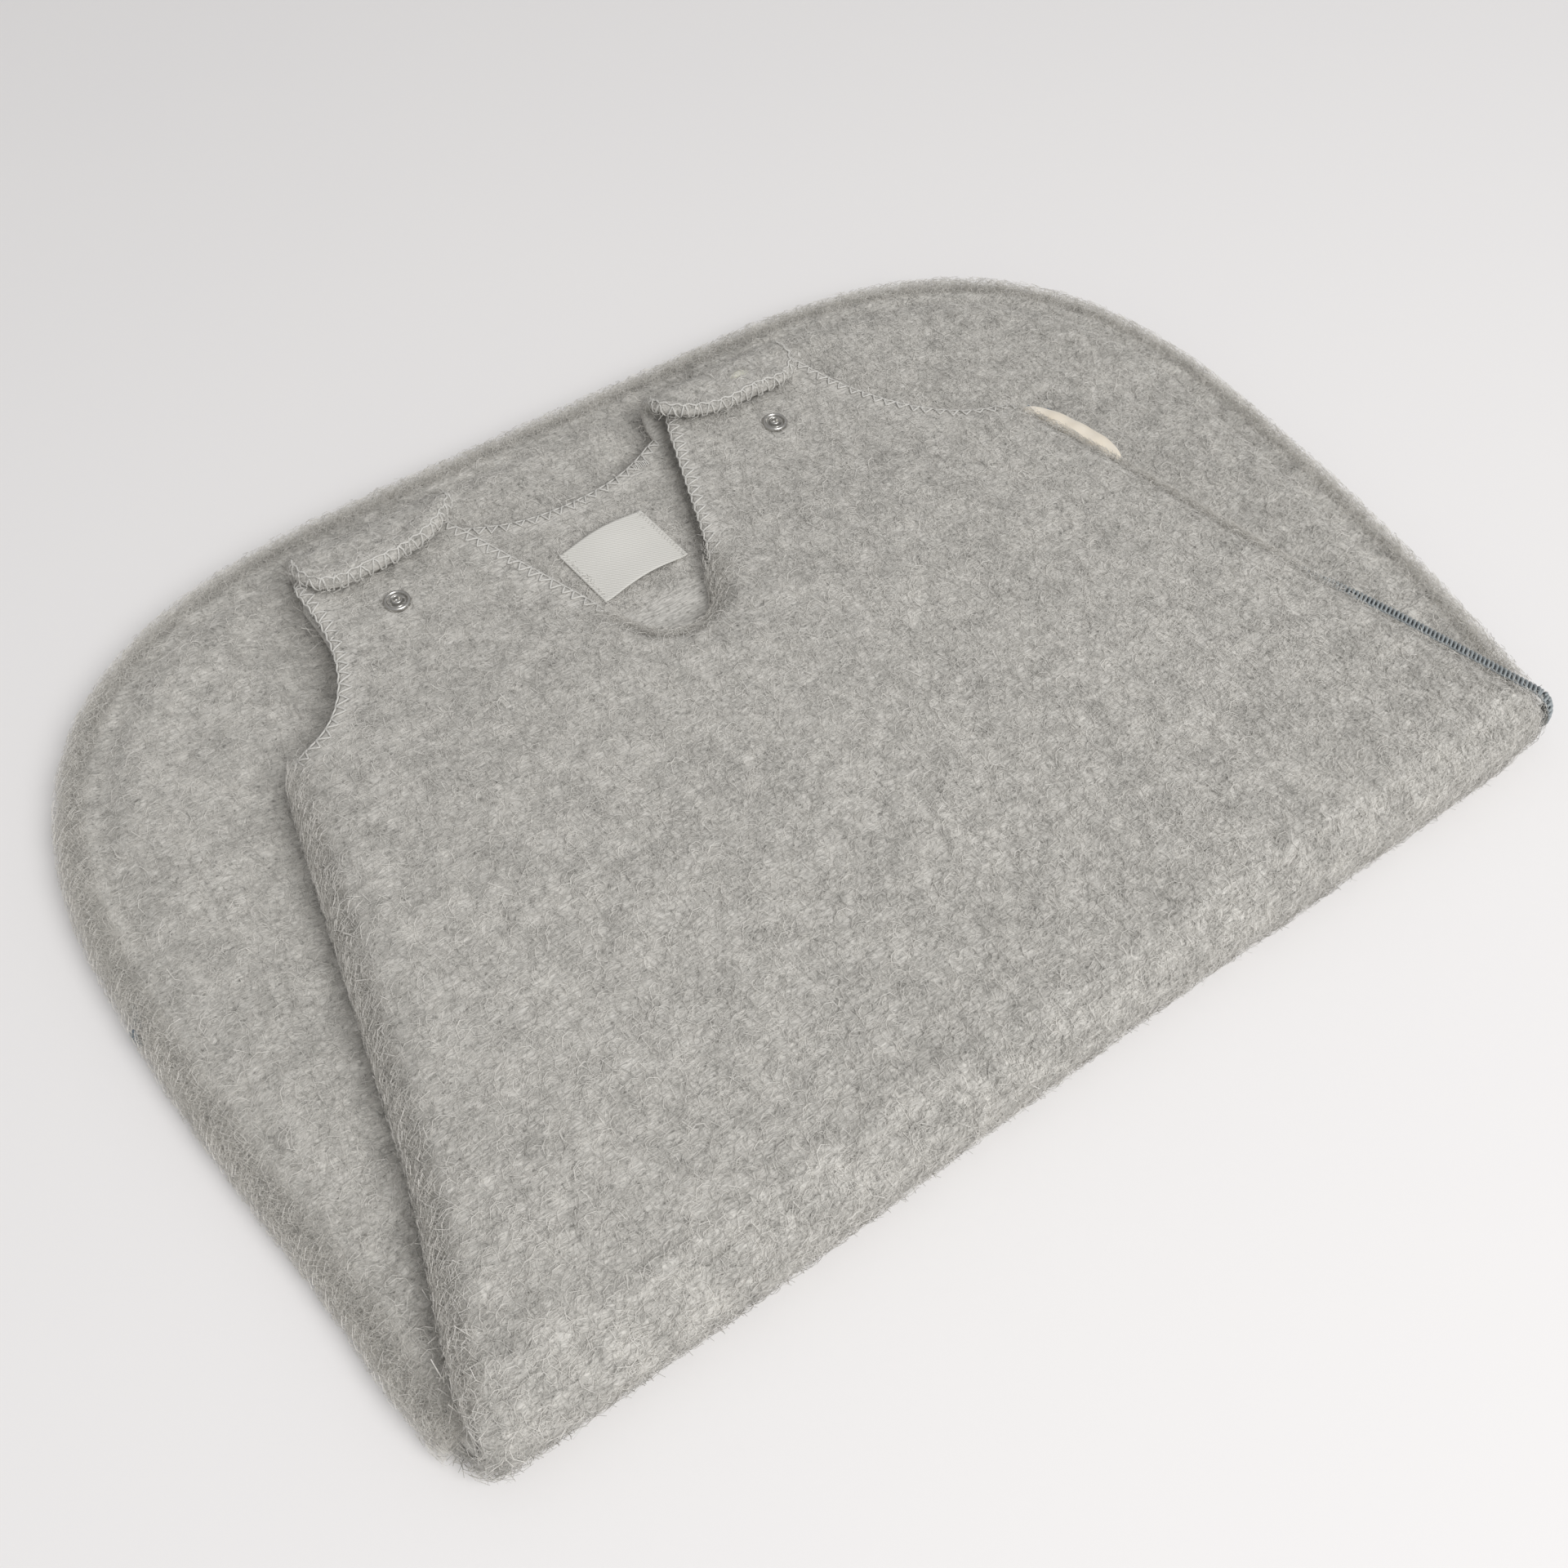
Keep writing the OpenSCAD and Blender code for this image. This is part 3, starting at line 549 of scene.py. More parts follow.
# ---- Brushed pile ----
# Wire brushing pulls loops of the wool out of both faces of the fleece: fine curly hairs that
# lie over the cloth, thicker at the rolled edges, which look blurred.
HAIR_MM, HAIR_RISE, HAIR_W = 6, 0.08, 0.14
PILE_FLOOR = 0.05
# Each hair is turned by random angles, in radians, and stretched by random factors.
SPIN_LEAST, SPIN_MOST = (-0.5, -0.12, -1.15), (0.5, 0.1, 1.15)
GROW_LEAST, GROW_MOST = (0.55, 0.5, 0.4), (1.25, 1.5, 1.7)


def new_group(name, inputs, result):
    """An empty Geometry Nodes tree with named inputs and one shape as its result."""
    tree = bpy.data.node_groups.new(name, "GeometryNodeTree")
    for label, kind in inputs.items():
        tree.interface.new_socket(label, in_out="INPUT", socket_type="NodeSocket" + kind)
    tree.interface.new_socket(result, in_out="OUTPUT", socket_type="NodeSocketGeometry")
    return tree, add_node(tree, "NodeGroupInput").outputs


def finish_group(tree, made, material):
    """Lays the made shape's map flat, as seen from above, and gives it its material."""
    where = add_node(tree, "GeometryNodeInputPosition")
    room = add_node(tree, "GeometryNodeBoundBox", {0: made})
    low, high = room.outputs["Min"], room.outputs["Max"]
    span = add_node(tree, "ShaderNodeVectorMath", {0: high, 1: low}, operation="SUBTRACT")
    off = add_node(tree, "ShaderNodeVectorMath", {0: where, 1: low}, operation="SUBTRACT")
    unit = add_node(tree, "ShaderNodeVectorMath", {0: off, 1: span}, operation="DIVIDE")
    mapped = add_node(
        tree, "GeometryNodeStoreNamedAttribute", {"Geometry": made, "Name": "OFBake", "Value": unit},
        data_type="FLOAT2", domain="CORNER",
    )
    dressed = add_node(tree, "GeometryNodeSetMaterial", {"Geometry": mapped, "Material": material})
    add_node(tree, "NodeGroupOutput", {0: dressed})


pile_inputs = {
    "Cloth": "Geometry", "Density": "Float", "Length": "Float", "Rise": "Float", "Width": "Float",
    "Segments": "Int", "Seed": "Int", "Fibre": "Material",
}
pile_tree, given = new_group("brushed pile", pile_inputs, "Pile")
factor = add_node(pile_tree, "GeometryNodeInputNamedAttribute", {"Name": "pile"}, data_type="FLOAT")
lift = add_node(pile_tree, "GeometryNodeInputNamedAttribute", {"Name": "lift"}, data_type="FLOAT")
density = add_node(pile_tree, "ShaderNodeMath", {0: given["Density"], 1: factor}, operation="MULTIPLY")
roots = add_node(
    pile_tree, "GeometryNodeDistributePointsOnFaces",
    {"Mesh": given["Cloth"], "Density": density, "Seed": given["Seed"]},
)
half_w = add_node(pile_tree, "ShaderNodeMath", {0: given["Width"], 1: 0.5}, operation="MULTIPLY")
minus_w = add_node(pile_tree, "ShaderNodeMath", {0: given["Width"], 1: -0.5}, operation="MULTIPLY")
side_a = add_node(pile_tree, "ShaderNodeCombineXYZ", {0: half_w})
side_b = add_node(pile_tree, "ShaderNodeCombineXYZ", {0: minus_w})
flat_line = add_node(pile_tree, "GeometryNodeCurvePrimitiveLine", {"Start": side_b, "End": side_a})
strand = add_node(
    pile_tree,
    "GeometryNodeCurvePrimitiveBezierSegment",
    {
        "Resolution": given["Segments"],
        "Start": (0, 0, -0.05),
        "Start Handle": (0.25, 0.35, 0.7),
        "End Handle": (0.7, 0.35, 1.2),
        "End": (1, -0.25, 0.75),
    },
)
sized = add_node(
    pile_tree, "ShaderNodeCombineXYZ", {0: given["Length"], 1: given["Length"], 2: given["Rise"]},
)
strand = add_node(pile_tree, "GeometryNodeTransform", {"Geometry": strand, "Scale": sized})
reach = add_node(pile_tree, "GeometryNodeSplineParameter")
taper = add_node(
    pile_tree, "ShaderNodeMapRange", {"Value": reach.outputs["Factor"], "To Min": 1, "To Max": 0.25},
)
strand = add_node(pile_tree, "GeometryNodeSetCurveRadius", {"Curve": strand, "Radius": taper})
ribbon = add_node(pile_tree, "GeometryNodeCurveToMesh", {"Curve": strand, "Profile Curve": flat_line})
upright = add_node(
    pile_tree, "FunctionNodeAlignRotationToVector", {"Vector": roots.outputs["Normal"]}, axis="Z",
)
across = add_node(
    pile_tree, "FunctionNodeAlignRotationToVector", {"Rotation": upright, "Vector": (1, 0.25, 0)},
    axis="X", pivot_axis="Z",
)
spin = add_node(
    pile_tree, "FunctionNodeRandomValue",
    {0: SPIN_LEAST, 1: SPIN_MOST, "Seed": given["Seed"]}, data_type="FLOAT_VECTOR",
)
turned = add_node(pile_tree, "FunctionNodeEulerToRotation", {0: spin})
lie = add_node(
    pile_tree, "FunctionNodeRotateRotation", {"Rotation": across, "Rotate By": turned},
    rotation_space="LOCAL",
)
grow = add_node(
    pile_tree, "FunctionNodeRandomValue",
    {0: GROW_LEAST, 1: GROW_MOST, "Seed": given["Seed"]}, data_type="FLOAT_VECTOR",
)
signs = []
for seed in (11, 12):
    toss = {"Probability": 0.5, "Seed": seed}
    way = add_node(pile_tree, "FunctionNodeRandomValue", toss, data_type="BOOLEAN").outputs[3]
    signs.append(add_node(pile_tree, "ShaderNodeMapRange", {"Value": way, "To Min": -1, "To Max": 1}))
flips = add_node(pile_tree, "ShaderNodeCombineXYZ", {0: signs[0], 1: signs[1], 2: lift})
size = add_node(pile_tree, "ShaderNodeVectorMath", {0: grow, 1: flips}, operation="MULTIPLY")
hairs = add_node(
    pile_tree, "GeometryNodeInstanceOnPoints",
    {"Points": roots.outputs["Points"], "Instance": ribbon, "Rotation": lie, "Scale": size},
)
tint = add_node(pile_tree, "FunctionNodeRandomValue", {"Seed": 21}, data_type="FLOAT")
tinted = add_node(
    pile_tree, "GeometryNodeStoreNamedAttribute",
    {"Geometry": hairs, "Name": "shade", "Value": tint.outputs[1]}, data_type="FLOAT", domain="INSTANCE",
)
loose = add_node(pile_tree, "GeometryNodeRealizeInstances", {0: tinted})
where = add_node(pile_tree, "GeometryNodeInputPosition")
parts = add_node(pile_tree, "ShaderNodeSeparateXYZ", {0: where})
beside, along, up = parts.outputs
above = add_node(pile_tree, "ShaderNodeMath", {0: up, 1: PILE_FLOOR * MM}, operation="MAXIMUM")
kept = add_node(pile_tree, "ShaderNodeCombineXYZ", {0: beside, 1: along, 2: above})
rested = add_node(pile_tree, "GeometryNodeSetPosition", {"Geometry": loose, "Position": kept})
finish_group(pile_tree, rested, given["Fibre"])


def baked(piece, tree, **inputs):
    """A plain mesh object made by a Geometry Nodes tree from a piece, which is then removed."""
    modifier = piece.modifiers.new(tree.name, "NODES")
    modifier.node_group = tree
    for socket in tree.interface.items_tree:
        if socket.in_out == "INPUT" and socket.name in inputs:
            modifier[socket.identifier] = inputs[socket.name]
    made = bpy.data.meshes.new_from_object(piece.evaluated_get(bpy.context.evaluated_depsgraph_get()))
    name = piece.name
    bpy.data.objects.remove(piece)
    made.name = name
    return add_object(name, made)


def grown(
    name, face, picked, pile, lift, density, seed,
    length=HAIR_MM, rise=HAIR_RISE, width=HAIR_W, segments=3, fibre=wool_hair,
):
    """Hairs on the picked triangles of a cloth's face, as a piece of their own. Pile is the
    share of the density at each point, and lift makes the hairs stand up."""
    points, faces = face
    faces = faces[picked]
    used = np.unique(faces)
    ground = mesh_piece(name, points, faces, wool_hair)
    for label, values in (("pile", pile), ("lift", lift)):
        field = ground.data.attributes.new(label, "FLOAT", "POINT")
        field.data.foreach_set("value", np.broadcast_to(values, len(points))[used].astype(np.float32))
    hairs = baked(
        ground, pile_tree, Density=density / MM**2, Length=length * MM, Rise=rise * length * MM,
        Width=width * MM, Segments=segments, Seed=seed, Fibre=fibre,
    )
    return hairs


def doubled(values):
    """Values for a cloth's outer points and again for its lining's."""
    return np.concatenate([values, values])


def mean_at(values, cloth):
    """The mean of the points' values in each triangle."""
    return values[cloth.faces].mean(1)


def bare_at_cut(cloth):
    """The share of the pile that is left beside the cut edges, where the stitches lie."""
    return 1 - (1 - cloth.closed) * (1 - smoothstep(cloth.depth, *CUT_BARE))


PILE_PER_MM2, STRAP_PILE_PER_MM2, STRAP_HAIR_MM = 0.8, 1.1, 4
PILE_BANDS, FOLD_THICKER = 4, 1.2
CUT_BARE, STUD_BARE, ZIP_SMOOTH = (4.5, 8), (0.5, 3), (60, 120)
# At the rolled edges the hairs stand up more; in the groove of the topstitching they lie flat.
FRONT_RAISED, FRONT_RAISED_TO, BACK_RAISED, BACK_RAISED_TO = 0.8, (3, 14), 1.2, (2, 12)
GROOVE_FLATTER, GROOVE_PILE_W, SHOWN_FROM = 0.75, 2.2, 0.02
w = front.middles[:, 1]
near_stud = np.ones(len(front.flat))
for x, y, z, radius in stud_places:
    near_stud *= smoothstep(from_stud(x, y), *(radius + off for off in STUD_BARE))
by_zip, near_fold = front.zipped * front.upper, 1 - smoothstep(front.y, *ZIP_SMOOTH)
pile = doubled(near_stud * bare_at_cut(front))
raised = 1 - smoothstep(front.depth, *FRONT_RAISED_TO)
lift = doubled(1 + FRONT_RAISED * front.closed * raised * (1 - by_zip))
bands = np.linspace(front.bend, front.flat[:, 1].max() + 1, PILE_BANDS + 1)
for i, (low, high) in enumerate(zip(bands, bands[1:])):
    band = (w >= low) & (w < high)
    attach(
        grown(f"front_pile_{i + 1}", front.outer, band, pile, lift, PILE_PER_MM2, 31 + i), "upper_half",
    )
bent = np.abs(w) < front.bend
fold_over(grown("fold_pile", front.outer, bent, pile, lift, FOLD_THICKER * PILE_PER_MM2, 41))

x, w = back.middles.T
shown = (mean_at(clear, back) > SHOWN_FROM) & (w < -back.bend)
in_groove = np.exp(-(((back.depth - STITCH_DEPTH) / GROOVE_PILE_W) ** 2))
grooved = 1 - GROOVE_FLATTER * in_groove * smoothstep(back.y, *GROOVE_FROM)
lift = doubled((1 + BACK_RAISED * (1 - smoothstep(back.depth, *BACK_RAISED_TO))) * grooved)
pile = np.ones(len(lift))
for name, side, seed in (("left", x < 0, 51), ("right", x >= 0, 52)):
    hairs = grown(f"lower_back_pile_{name}", back.outer, shown & side, pile, lift, PILE_PER_MM2, seed)
    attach(hairs, "lower_half")

# A halo of fine fuzz stands out from the rolled edges. Its colour is paler than the pile's: painted light,
# for light that shines through the fine hairs.
HALO_PER_MM2, HALO_MM, HALO_RISE, HALO_RISE_ABOVE = 4.4, 4, 1.05, 0.6
HALO_TO, HALO_TO_ABOVE, HALO_LOWER, HALO_LOWER_TO = (3, 9), (2, 7), 0.6, (1, 7)
fine = dict(length=HALO_MM, width=0.11, segments=2, fibre=wool_fuzz_painted_lit)
for name, cloth, seed in (("back", back, 61), ("front", front, 62)):
    rim = (mean_at(cloth.depth, cloth) < HALO_TO[1]) & (cloth.middles[:, 1] < -cloth.bend)
    thick = doubled(cloth.closed * (1 - smoothstep(cloth.depth, *HALO_TO)))
    tall = doubled(1 - HALO_LOWER * smoothstep(cloth.depth, *HALO_LOWER_TO))
    halo = grown(
        f"lower_halo_{name}", cloth.outer, rim, thick, tall, HALO_PER_MM2, seed, rise=HALO_RISE, **fine,
    )
    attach(halo, "lower_half")
rim = (mean_at(front.depth, front) < HALO_TO_ABOVE[1]) & (front.middles[:, 1] > front.bend)
faded = 1 - smoothstep(front.depth, *HALO_TO_ABOVE)
thick = doubled(front.closed * faded * (1 - by_zip * near_fold))
halo = grown("upper_halo", front.outer, rim, thick, tall, HALO_PER_MM2, 63, rise=HALO_RISE_ABOVE, **fine)
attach(halo, "upper_half")

# The same pile lines the back neck. It is sparser, with wider hairs, on the faces that show
# only when the bag is turned over or unfolded.
SPARSE_PER_MM2, NECK_REACH = 0.2, 12
sparse = dict(length=7, width=0.26, segments=2)
under_front = covered & (from_front > NECK_REACH)
in_neck = back.upper & (back.flat[:, 1] > back.bend + UNDERARM_Y) & ~under_front
in_neck = mean_at(in_neck, back) > 0.5
neck = grown("neck_pile", back.lining, in_neck, doubled(bare_at_cut(back)), 1, PILE_PER_MM2, 81)
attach(neck, "upper_half")
for name, face, picked, seed, half in (
    ("lower_back_pile_middle", back.outer, ~shown & (w < -back.bend), 82, "lower_half"),
    ("upper_back_pile", back.outer, w > back.bend, 83, "upper_half"),
    ("lower_front_pile", front.outer, front.middles[:, 1] < -front.bend, 84, "lower_half"),
):
    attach(grown(name, face, picked, 1, 1, SPARSE_PER_MM2, seed, **sparse), half)
for name, strap in strap_pieces.items():
    bent = strap.middles[:, 1] > STRAP_JOIN
    hairs = grown(name + "_pile", strap.outer, bent, 1, 1, STRAP_PILE_PER_MM2, 71, STRAP_HAIR_MM)
    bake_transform(hairs)

# ---- Zip ----
# A nylon coil zip in grey-blue, sewn between the two panels from the left side, round the foot
# and up the right side. Two rows of coil loops lock together on a narrow woven tape.
LOWER_ZIP_Z, UPPER_ZIP_Z = HALF_H / 2, 2 * FOLD_Z - HALF_H / 2
ZIP_TUCK, TUCK_START, TUCK_FULL = 6, 50, 135
TAPE_OUT, TAPE_T, TAPE_HALF = 0.4, 0.5, 3.6
COIL_OUT, COIL_PITCH, COIL_REACH, COIL_WIRE = 1.4, 1.6, 3.3, 0.5
COIL_TOP_GAP = 6
ZIP_TURN, ZIP_RISE = 55, 0.8
ZIP_BLUE, ZIP_PALE = "#7c8284", "#a0a5a7"


def two_tone(name, colours, kind, grain, detail, gloss, relief=(), rough=()):
    """A finish that wavers between two colours with a pattern, its grain in millimetres. The
    pattern may raise it, by a strength and a height, and vary its roughness between two values."""
    material, tree = new_material(name)
    place = add_node(tree, "ShaderNodeTexCoord").outputs["Object"]
    marks = add_node(tree, kind, {"Vector": place, "Scale": 1 / (grain * MM), "Detail": detail})
    dark, light = map(linear, colours)
    tone = add_node(tree, "ShaderNodeMix", {0: marks, 6: dark, 7: light}, data_type="RGBA")
    shader = add_node(tree, "ShaderNodeBsdfPrincipled", {"Base Color": tone.outputs[2], **gloss})
    if relief:
        strength, height = relief
        raised = {"Height": marks, "Strength": strength, "Distance": height * MM}
        bump = add_node(tree, "ShaderNodeBump", raised)
        tree.links.new(bump.outputs[0], shader.inputs["Normal"])
    if rough:
        ranges = {"Value": marks, "To Min": rough[0], "To Max": rough[1]}
        worn = add_node(tree, "ShaderNodeMapRange", ranges)
        tree.links.new(worn.outputs[0], shader.inputs["Roughness"])
    add_node(tree, "ShaderNodeOutputMaterial", {0: shader})
    return material


# Woven tape is matt, with fine ribs.
tape_weave = two_tone(
    "Woven polyester zip tape", (ZIP_BLUE, ZIP_PALE), "ShaderNodeTexVoronoi", 0.7, 0,
    {"Roughness": 0.85, "Sheen Weight": 0.1}, relief=(0.6, 0.2),
)
# Drawn nylon wire has a dull shine.
nylon = two_tone(
    "Nylon coil", ("#7e8588", "#abb1b3"), "ShaderNodeTexNoise", 3, 3, {"Roughness": 0.42, "IOR": 1.53},
)


def beside_line(line):
    """The way out to the right of each point of a flat line."""
    along = np.gradient(line, axis=0)
    along /= np.linalg.norm(along, axis=1)[:, None]
    return np.stack([-along[:, 1], along[:, 0], 0 * along[:, 0]], 1)


def spread(value, count):
    """The same direction, once for each point."""
    return np.tile(np.asarray(value, float), (count, 1))


low = outline("lower_front_panel")
low = low[: np.argmax((low[:, 0] < 0) & (low[:, 1] < ZIP_END_Y + 1)) + 1]
low = resampled(low[::-1], 1, False)
top = outline("upper_front_panel")[:2]
top[1] = top[1] + (top[0] - top[1]) * COIL_TOP_GAP / np.linalg.norm(top[0] - top[1])
top = resampled(top, 1, False)
turns = np.linspace(-math.pi / 2, math.pi / 2, 40)[1:-1]
around = np.stack([0 * turns, -np.cos(turns), np.sin(turns)], 1)
pressed = around * (0, tightness(top[0, 0]), 1)
ends = np.linspace(low[-1, 0], top[0, 0], len(turns))
lower_end = len(low)
fold_end = lower_end + len(turns)
ways_out = np.vstack([beside_line(low), spread((1, 0, 0), len(turns)), -beside_line(top)])
fronts = np.vstack([spread((0, 0, -1), len(low)), around, spread((0, 0, 1), len(top))])
zip_line = np.vstack(
    [
        np.column_stack([low[:, 0], low[:, 1] + FOLD_Y, 0 * low[:, 0] + LOWER_ZIP_Z]),
        pressed * MID_R + np.column_stack([ends, 0 * ends + FOLD_Y, 0 * ends + FOLD_Z]),
        np.column_stack([top[:, 0], top[:, 1] + FOLD_Y, 0 * top[:, 0] + UPPER_ZIP_Z]),
    ]
)
run = np.concatenate([[0], np.cumsum(np.linalg.norm(np.diff(zip_line, axis=0), axis=1))])
from_fold = np.maximum(run[lower_end] - run, run - run[fold_end])
tuck = ZIP_TUCK * smoothstep(from_fold, TUCK_START, TUCK_FULL) * smoothstep(run, 4, 20)
zip_line -= ways_out * tuck[:, None]
turned = (1 - smoothstep(from_fold, *ZIP_SHOWS)) * smoothstep(run, run[lower_end], run[fold_end])
zip_line += fronts * (ZIP_RISE * turned)[:, None]
turned = np.radians(ZIP_TURN) * turned[:, None]
ways_out, fronts = (
    ways_out * np.cos(turned) + fronts * np.sin(turned),
    fronts * np.cos(turned) - ways_out * np.sin(turned),
)
ZIP_PARTS = (
    ("lower", 0, lower_end + 1, ("lower_zip_front", "lower_zip_back")),
    ("fold", lower_end, fold_end + 1, ()),
    ("upper", fold_end, len(zip_line), ("upper_zip_front", "upper_zip_back")),
)


def between_rings(rings, around):
    """The four corners of every face between rings of points, each ring closed on itself."""
    after = [(j + 1) % around for j in range(around)]
    starts = [(i * around, (i + 1) * around) for i in range(rings - 1)]
    return [(a + j, a + k, b + k, b + j) for a, b in starts for j, k in enumerate(after)]


def swept(name, line, outs, ways, section, material):
    """A strip of one section along a line; the section's points are (out, to the front)."""
    rings = [line + outs * o + ways * v for o, v in section]
    points = np.stack(rings, 1).reshape(-1, 3)
    n, m = len(line), len(section)
    sides, last = between_rings(n, m), (n - 1) * m
    faces = [(a, b, c) for a, b, c, d in sides] + [(a, c, d) for a, b, c, d in sides]
    faces += [(0, j + 1, j) for j in range(1, m - 1)]
    faces += [(last, last + j, last + j + 1) for j in range(1, m - 1)]
    return mesh_piece(name, points, faces, material)


def zip_piece(piece, part):
    """The zip's lower and upper parts ride with their halves; the fold part's placement is baked into its
    mesh.
    """
    if part == "fold":
        fold_over(piece)
    else:
        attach(piece, part + "_half")


tape_section = [
    (TAPE_OUT, -TAPE_HALF), (TAPE_OUT + TAPE_T, -TAPE_HALF), (TAPE_OUT + 1.3 * TAPE_T, 0),
    (TAPE_OUT + TAPE_T, TAPE_HALF), (TAPE_OUT, TAPE_HALF),
]
for part, start, stop, nodes in ZIP_PARTS:
    line, outs, ways = (values[start:stop] for values in (zip_line, ways_out, fronts))
    tape = swept(part + "_tape", line, outs, ways, tape_section, tape_weave)
    zip_piece(tape, part)
    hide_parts(*([node + "_tape" for node in nodes] or ["fold_zip_tapes"]))

coil_inputs = {"Places": "Geometry", "Reach": "Float", "Wire": "Float"}
coil_tree, given = new_group("coil loops", coil_inputs, "Coil")
way_out = add_node(
    coil_tree, "GeometryNodeInputNamedAttribute", {"Name": "out"}, data_type="FLOAT_VECTOR",
)
way_front = add_node(
    coil_tree, "GeometryNodeInputNamedAttribute", {"Name": "front"}, data_type="FLOAT_VECTOR",
)
upright = add_node(coil_tree, "FunctionNodeAlignRotationToVector", {"Vector": way_out}, axis="Z")
facing = add_node(
    coil_tree, "FunctionNodeAlignRotationToVector", {"Rotation": upright, "Vector": way_front}, axis="Y",
    pivot_axis="Z",
)
loop = add_node(
    coil_tree,
    "GeometryNodeCurvePrimitiveBezierSegment",
    {
        "Resolution": 4,
        "Start": (0.12, -0.22, 0.1),
        "Start Handle": (0.16, -0.05, 0.5),
        "End Handle": (-0.1, 0.55, 0.32),
        "End": (-0.16, 1, -0.2),
    },
)
stretched = add_node(coil_tree, "ShaderNodeCombineXYZ", {i: given["Reach"] for i in range(3)})
sized = add_node(coil_tree, "GeometryNodeTransform", {0: loop, "Scale": stretched})
wire = add_node(coil_tree, "GeometryNodeCurvePrimitiveCircle", {"Resolution": 6, "Radius": given["Wire"]})
tooth = add_node(
    coil_tree, "GeometryNodeCurveToMesh", {"Curve": sized, "Profile Curve": wire, "Fill Caps": True},
)
loops = add_node(
    coil_tree, "GeometryNodeInstanceOnPoints",
    {"Points": given["Places"], "Instance": tooth, "Rotation": facing},
)
solid = add_node(coil_tree, "GeometryNodeRealizeInstances", {0: loops})
rounded = add_node(coil_tree, "GeometryNodeSetShadeSmooth", {0: solid})
finish_group(coil_tree, rounded, nylon)

for part, start, stop, nodes in ZIP_PARTS:
    tooth_at = np.arange(run[start], run[stop - 1], COIL_PITCH / 2)
    rows = np.round(tooth_at / (COIL_PITCH / 2)).astype(int) % 2 * 2 - 1
    spots, outs, ways = (
        np.stack([np.interp(tooth_at, run, values[:, i]) for i in range(3)], 1)
        for values in (zip_line, ways_out, fronts)
    )
    places = bpy.data.meshes.new(part + "_coil")
    places.from_pydata(((spots + outs * COIL_OUT) * MM).tolist(), [], [])
    for name, values in (("out", outs), ("front", ways * rows[:, None])):
        field = places.attributes.new(name, "FLOAT_VECTOR", "POINT")
        field.data.foreach_set("vector", values.ravel().astype(np.float32))
    coil = baked(
        add_object(part + "_coil", places), coil_tree, Reach=COIL_REACH * MM, Wire=COIL_WIRE * MM,
    )
    zip_piece(coil, part)
    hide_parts(*([node + "_coil" for node in nodes] or ["fold_zip_coils"]))


def coat(nodes, material):
    """Gives CAD nodes their one material."""
    for node in nodes:
        frame["nodes"][node].data.materials.clear()
        frame["nodes"][node].data.materials.append(material)


# Die-cast zinc, painted to match the tape, shines softly where it is rubbed.
zinc = two_tone(
    "Painted zinc", ("#77818a", "#97a0a7"), "ShaderNodeTexNoise", 2, 4,
    {"Metallic": 0.6, "Roughness": 0.38, "Coat Weight": 0.3},
)
coat(("zip_slider", "zip_pull", "zip_top_stops", "zip_bottom_stop"), zinc)

# ---- Zip guard ----
# A small padded hood of undyed cotton, sewn to the front panel over the zip's top end, so the
# slider can't scratch the baby's chin. It is full in the middle and runs out at both ends.
GUARD_LEN, GUARD_IN, GUARD_OUT, GUARD_PUFF = 47, -1.5, 10, 2.2
GUARD_TOP, GUARD_DROP, GUARD_AT = 28.6, 3.4, -2
GUARD_RINGS, GUARD_SIDES, GUARD_BLUNT, WRINKLES, WRINKLE_HIGH = 39, 24, 0.7, 9, 0.25
GUARD_END_W, GUARD_END_H = 1.2, 0.5
# Plain-woven cotton is matt and creamy, with a fine grid of threads.
cotton, tree = new_material("Undyed cotton poplin")
place = add_node(tree, "ShaderNodeTexCoord").outputs["Object"]
threads_in = {"Vector": place, "Scale": 0.314 / (0.6 * MM), "Distortion": 0.6}
warp, weft = (
    add_node(tree, "ShaderNodeTexWave", threads_in, bands_direction=way).outputs[1] for way in "XY"
)
weave = add_node(tree, "ShaderNodeMath", {0: warp, 1: weft}, operation="MULTIPLY")
soiled = add_node(tree, "ShaderNodeTexNoise", {"Vector": place, "Scale": 1 / (9 * MM), "Detail": 3})
tone = add_node(
    tree, "ShaderNodeMix", {0: soiled, 6: linear("#e0d3bd"), 7: linear("#f3ece0")}, data_type="RGBA",
)
bump = add_node(tree, "ShaderNodeBump", {"Height": weave, "Strength": 0.5, "Distance": 0.15 * MM})
shader = add_node(
    tree, "ShaderNodeBsdfPrincipled",
    {"Base Color": tone.outputs[2], "Roughness": 0.8, "Sheen Weight": 0.2, "Normal": bump},
)
add_node(tree, "ShaderNodeOutputMaterial", {0: shader})

share = np.linspace(0, 1, GUARD_RINGS + 2)[1:-1]
top_in_row = np.array([*top[-1], 0]) + (0, FOLD_Y, 0)
down = np.array([*(top[0] - top[-1]), 0])
down /= np.linalg.norm(down)
sideways = np.array([-down[1], down[0], 0])
sideways *= np.sign(sideways[0])
bulge = np.sin(math.pi * share) ** GUARD_BLUNT
angles = np.linspace(0, 2 * math.pi, GUARD_SIDES + 1)[:-1]
rings = []
for t, full in zip(share, bulge):
    centre = top_in_row + down * (t * GUARD_LEN + GUARD_AT)
    width = GUARD_END_W + (GUARD_OUT - GUARD_IN) * full
    across = GUARD_IN + width * (0.5 - 0.5 * np.cos(angles))
    slump = GUARD_DROP * full * ((across - GUARD_IN) / (GUARD_OUT - GUARD_IN)) ** 2
    wrinkle = WRINKLE_HIGH * np.sin(WRINKLES * math.pi * t) * np.sin(angles)
    rise = GUARD_END_H + (GUARD_PUFF - GUARD_END_H) * full
    height = GUARD_TOP - GUARD_PUFF - slump + rise * np.sin(angles) + wrinkle
    rings.append(centre + sideways * across[:, None] + np.array([0, 0, 1]) * height[:, None])
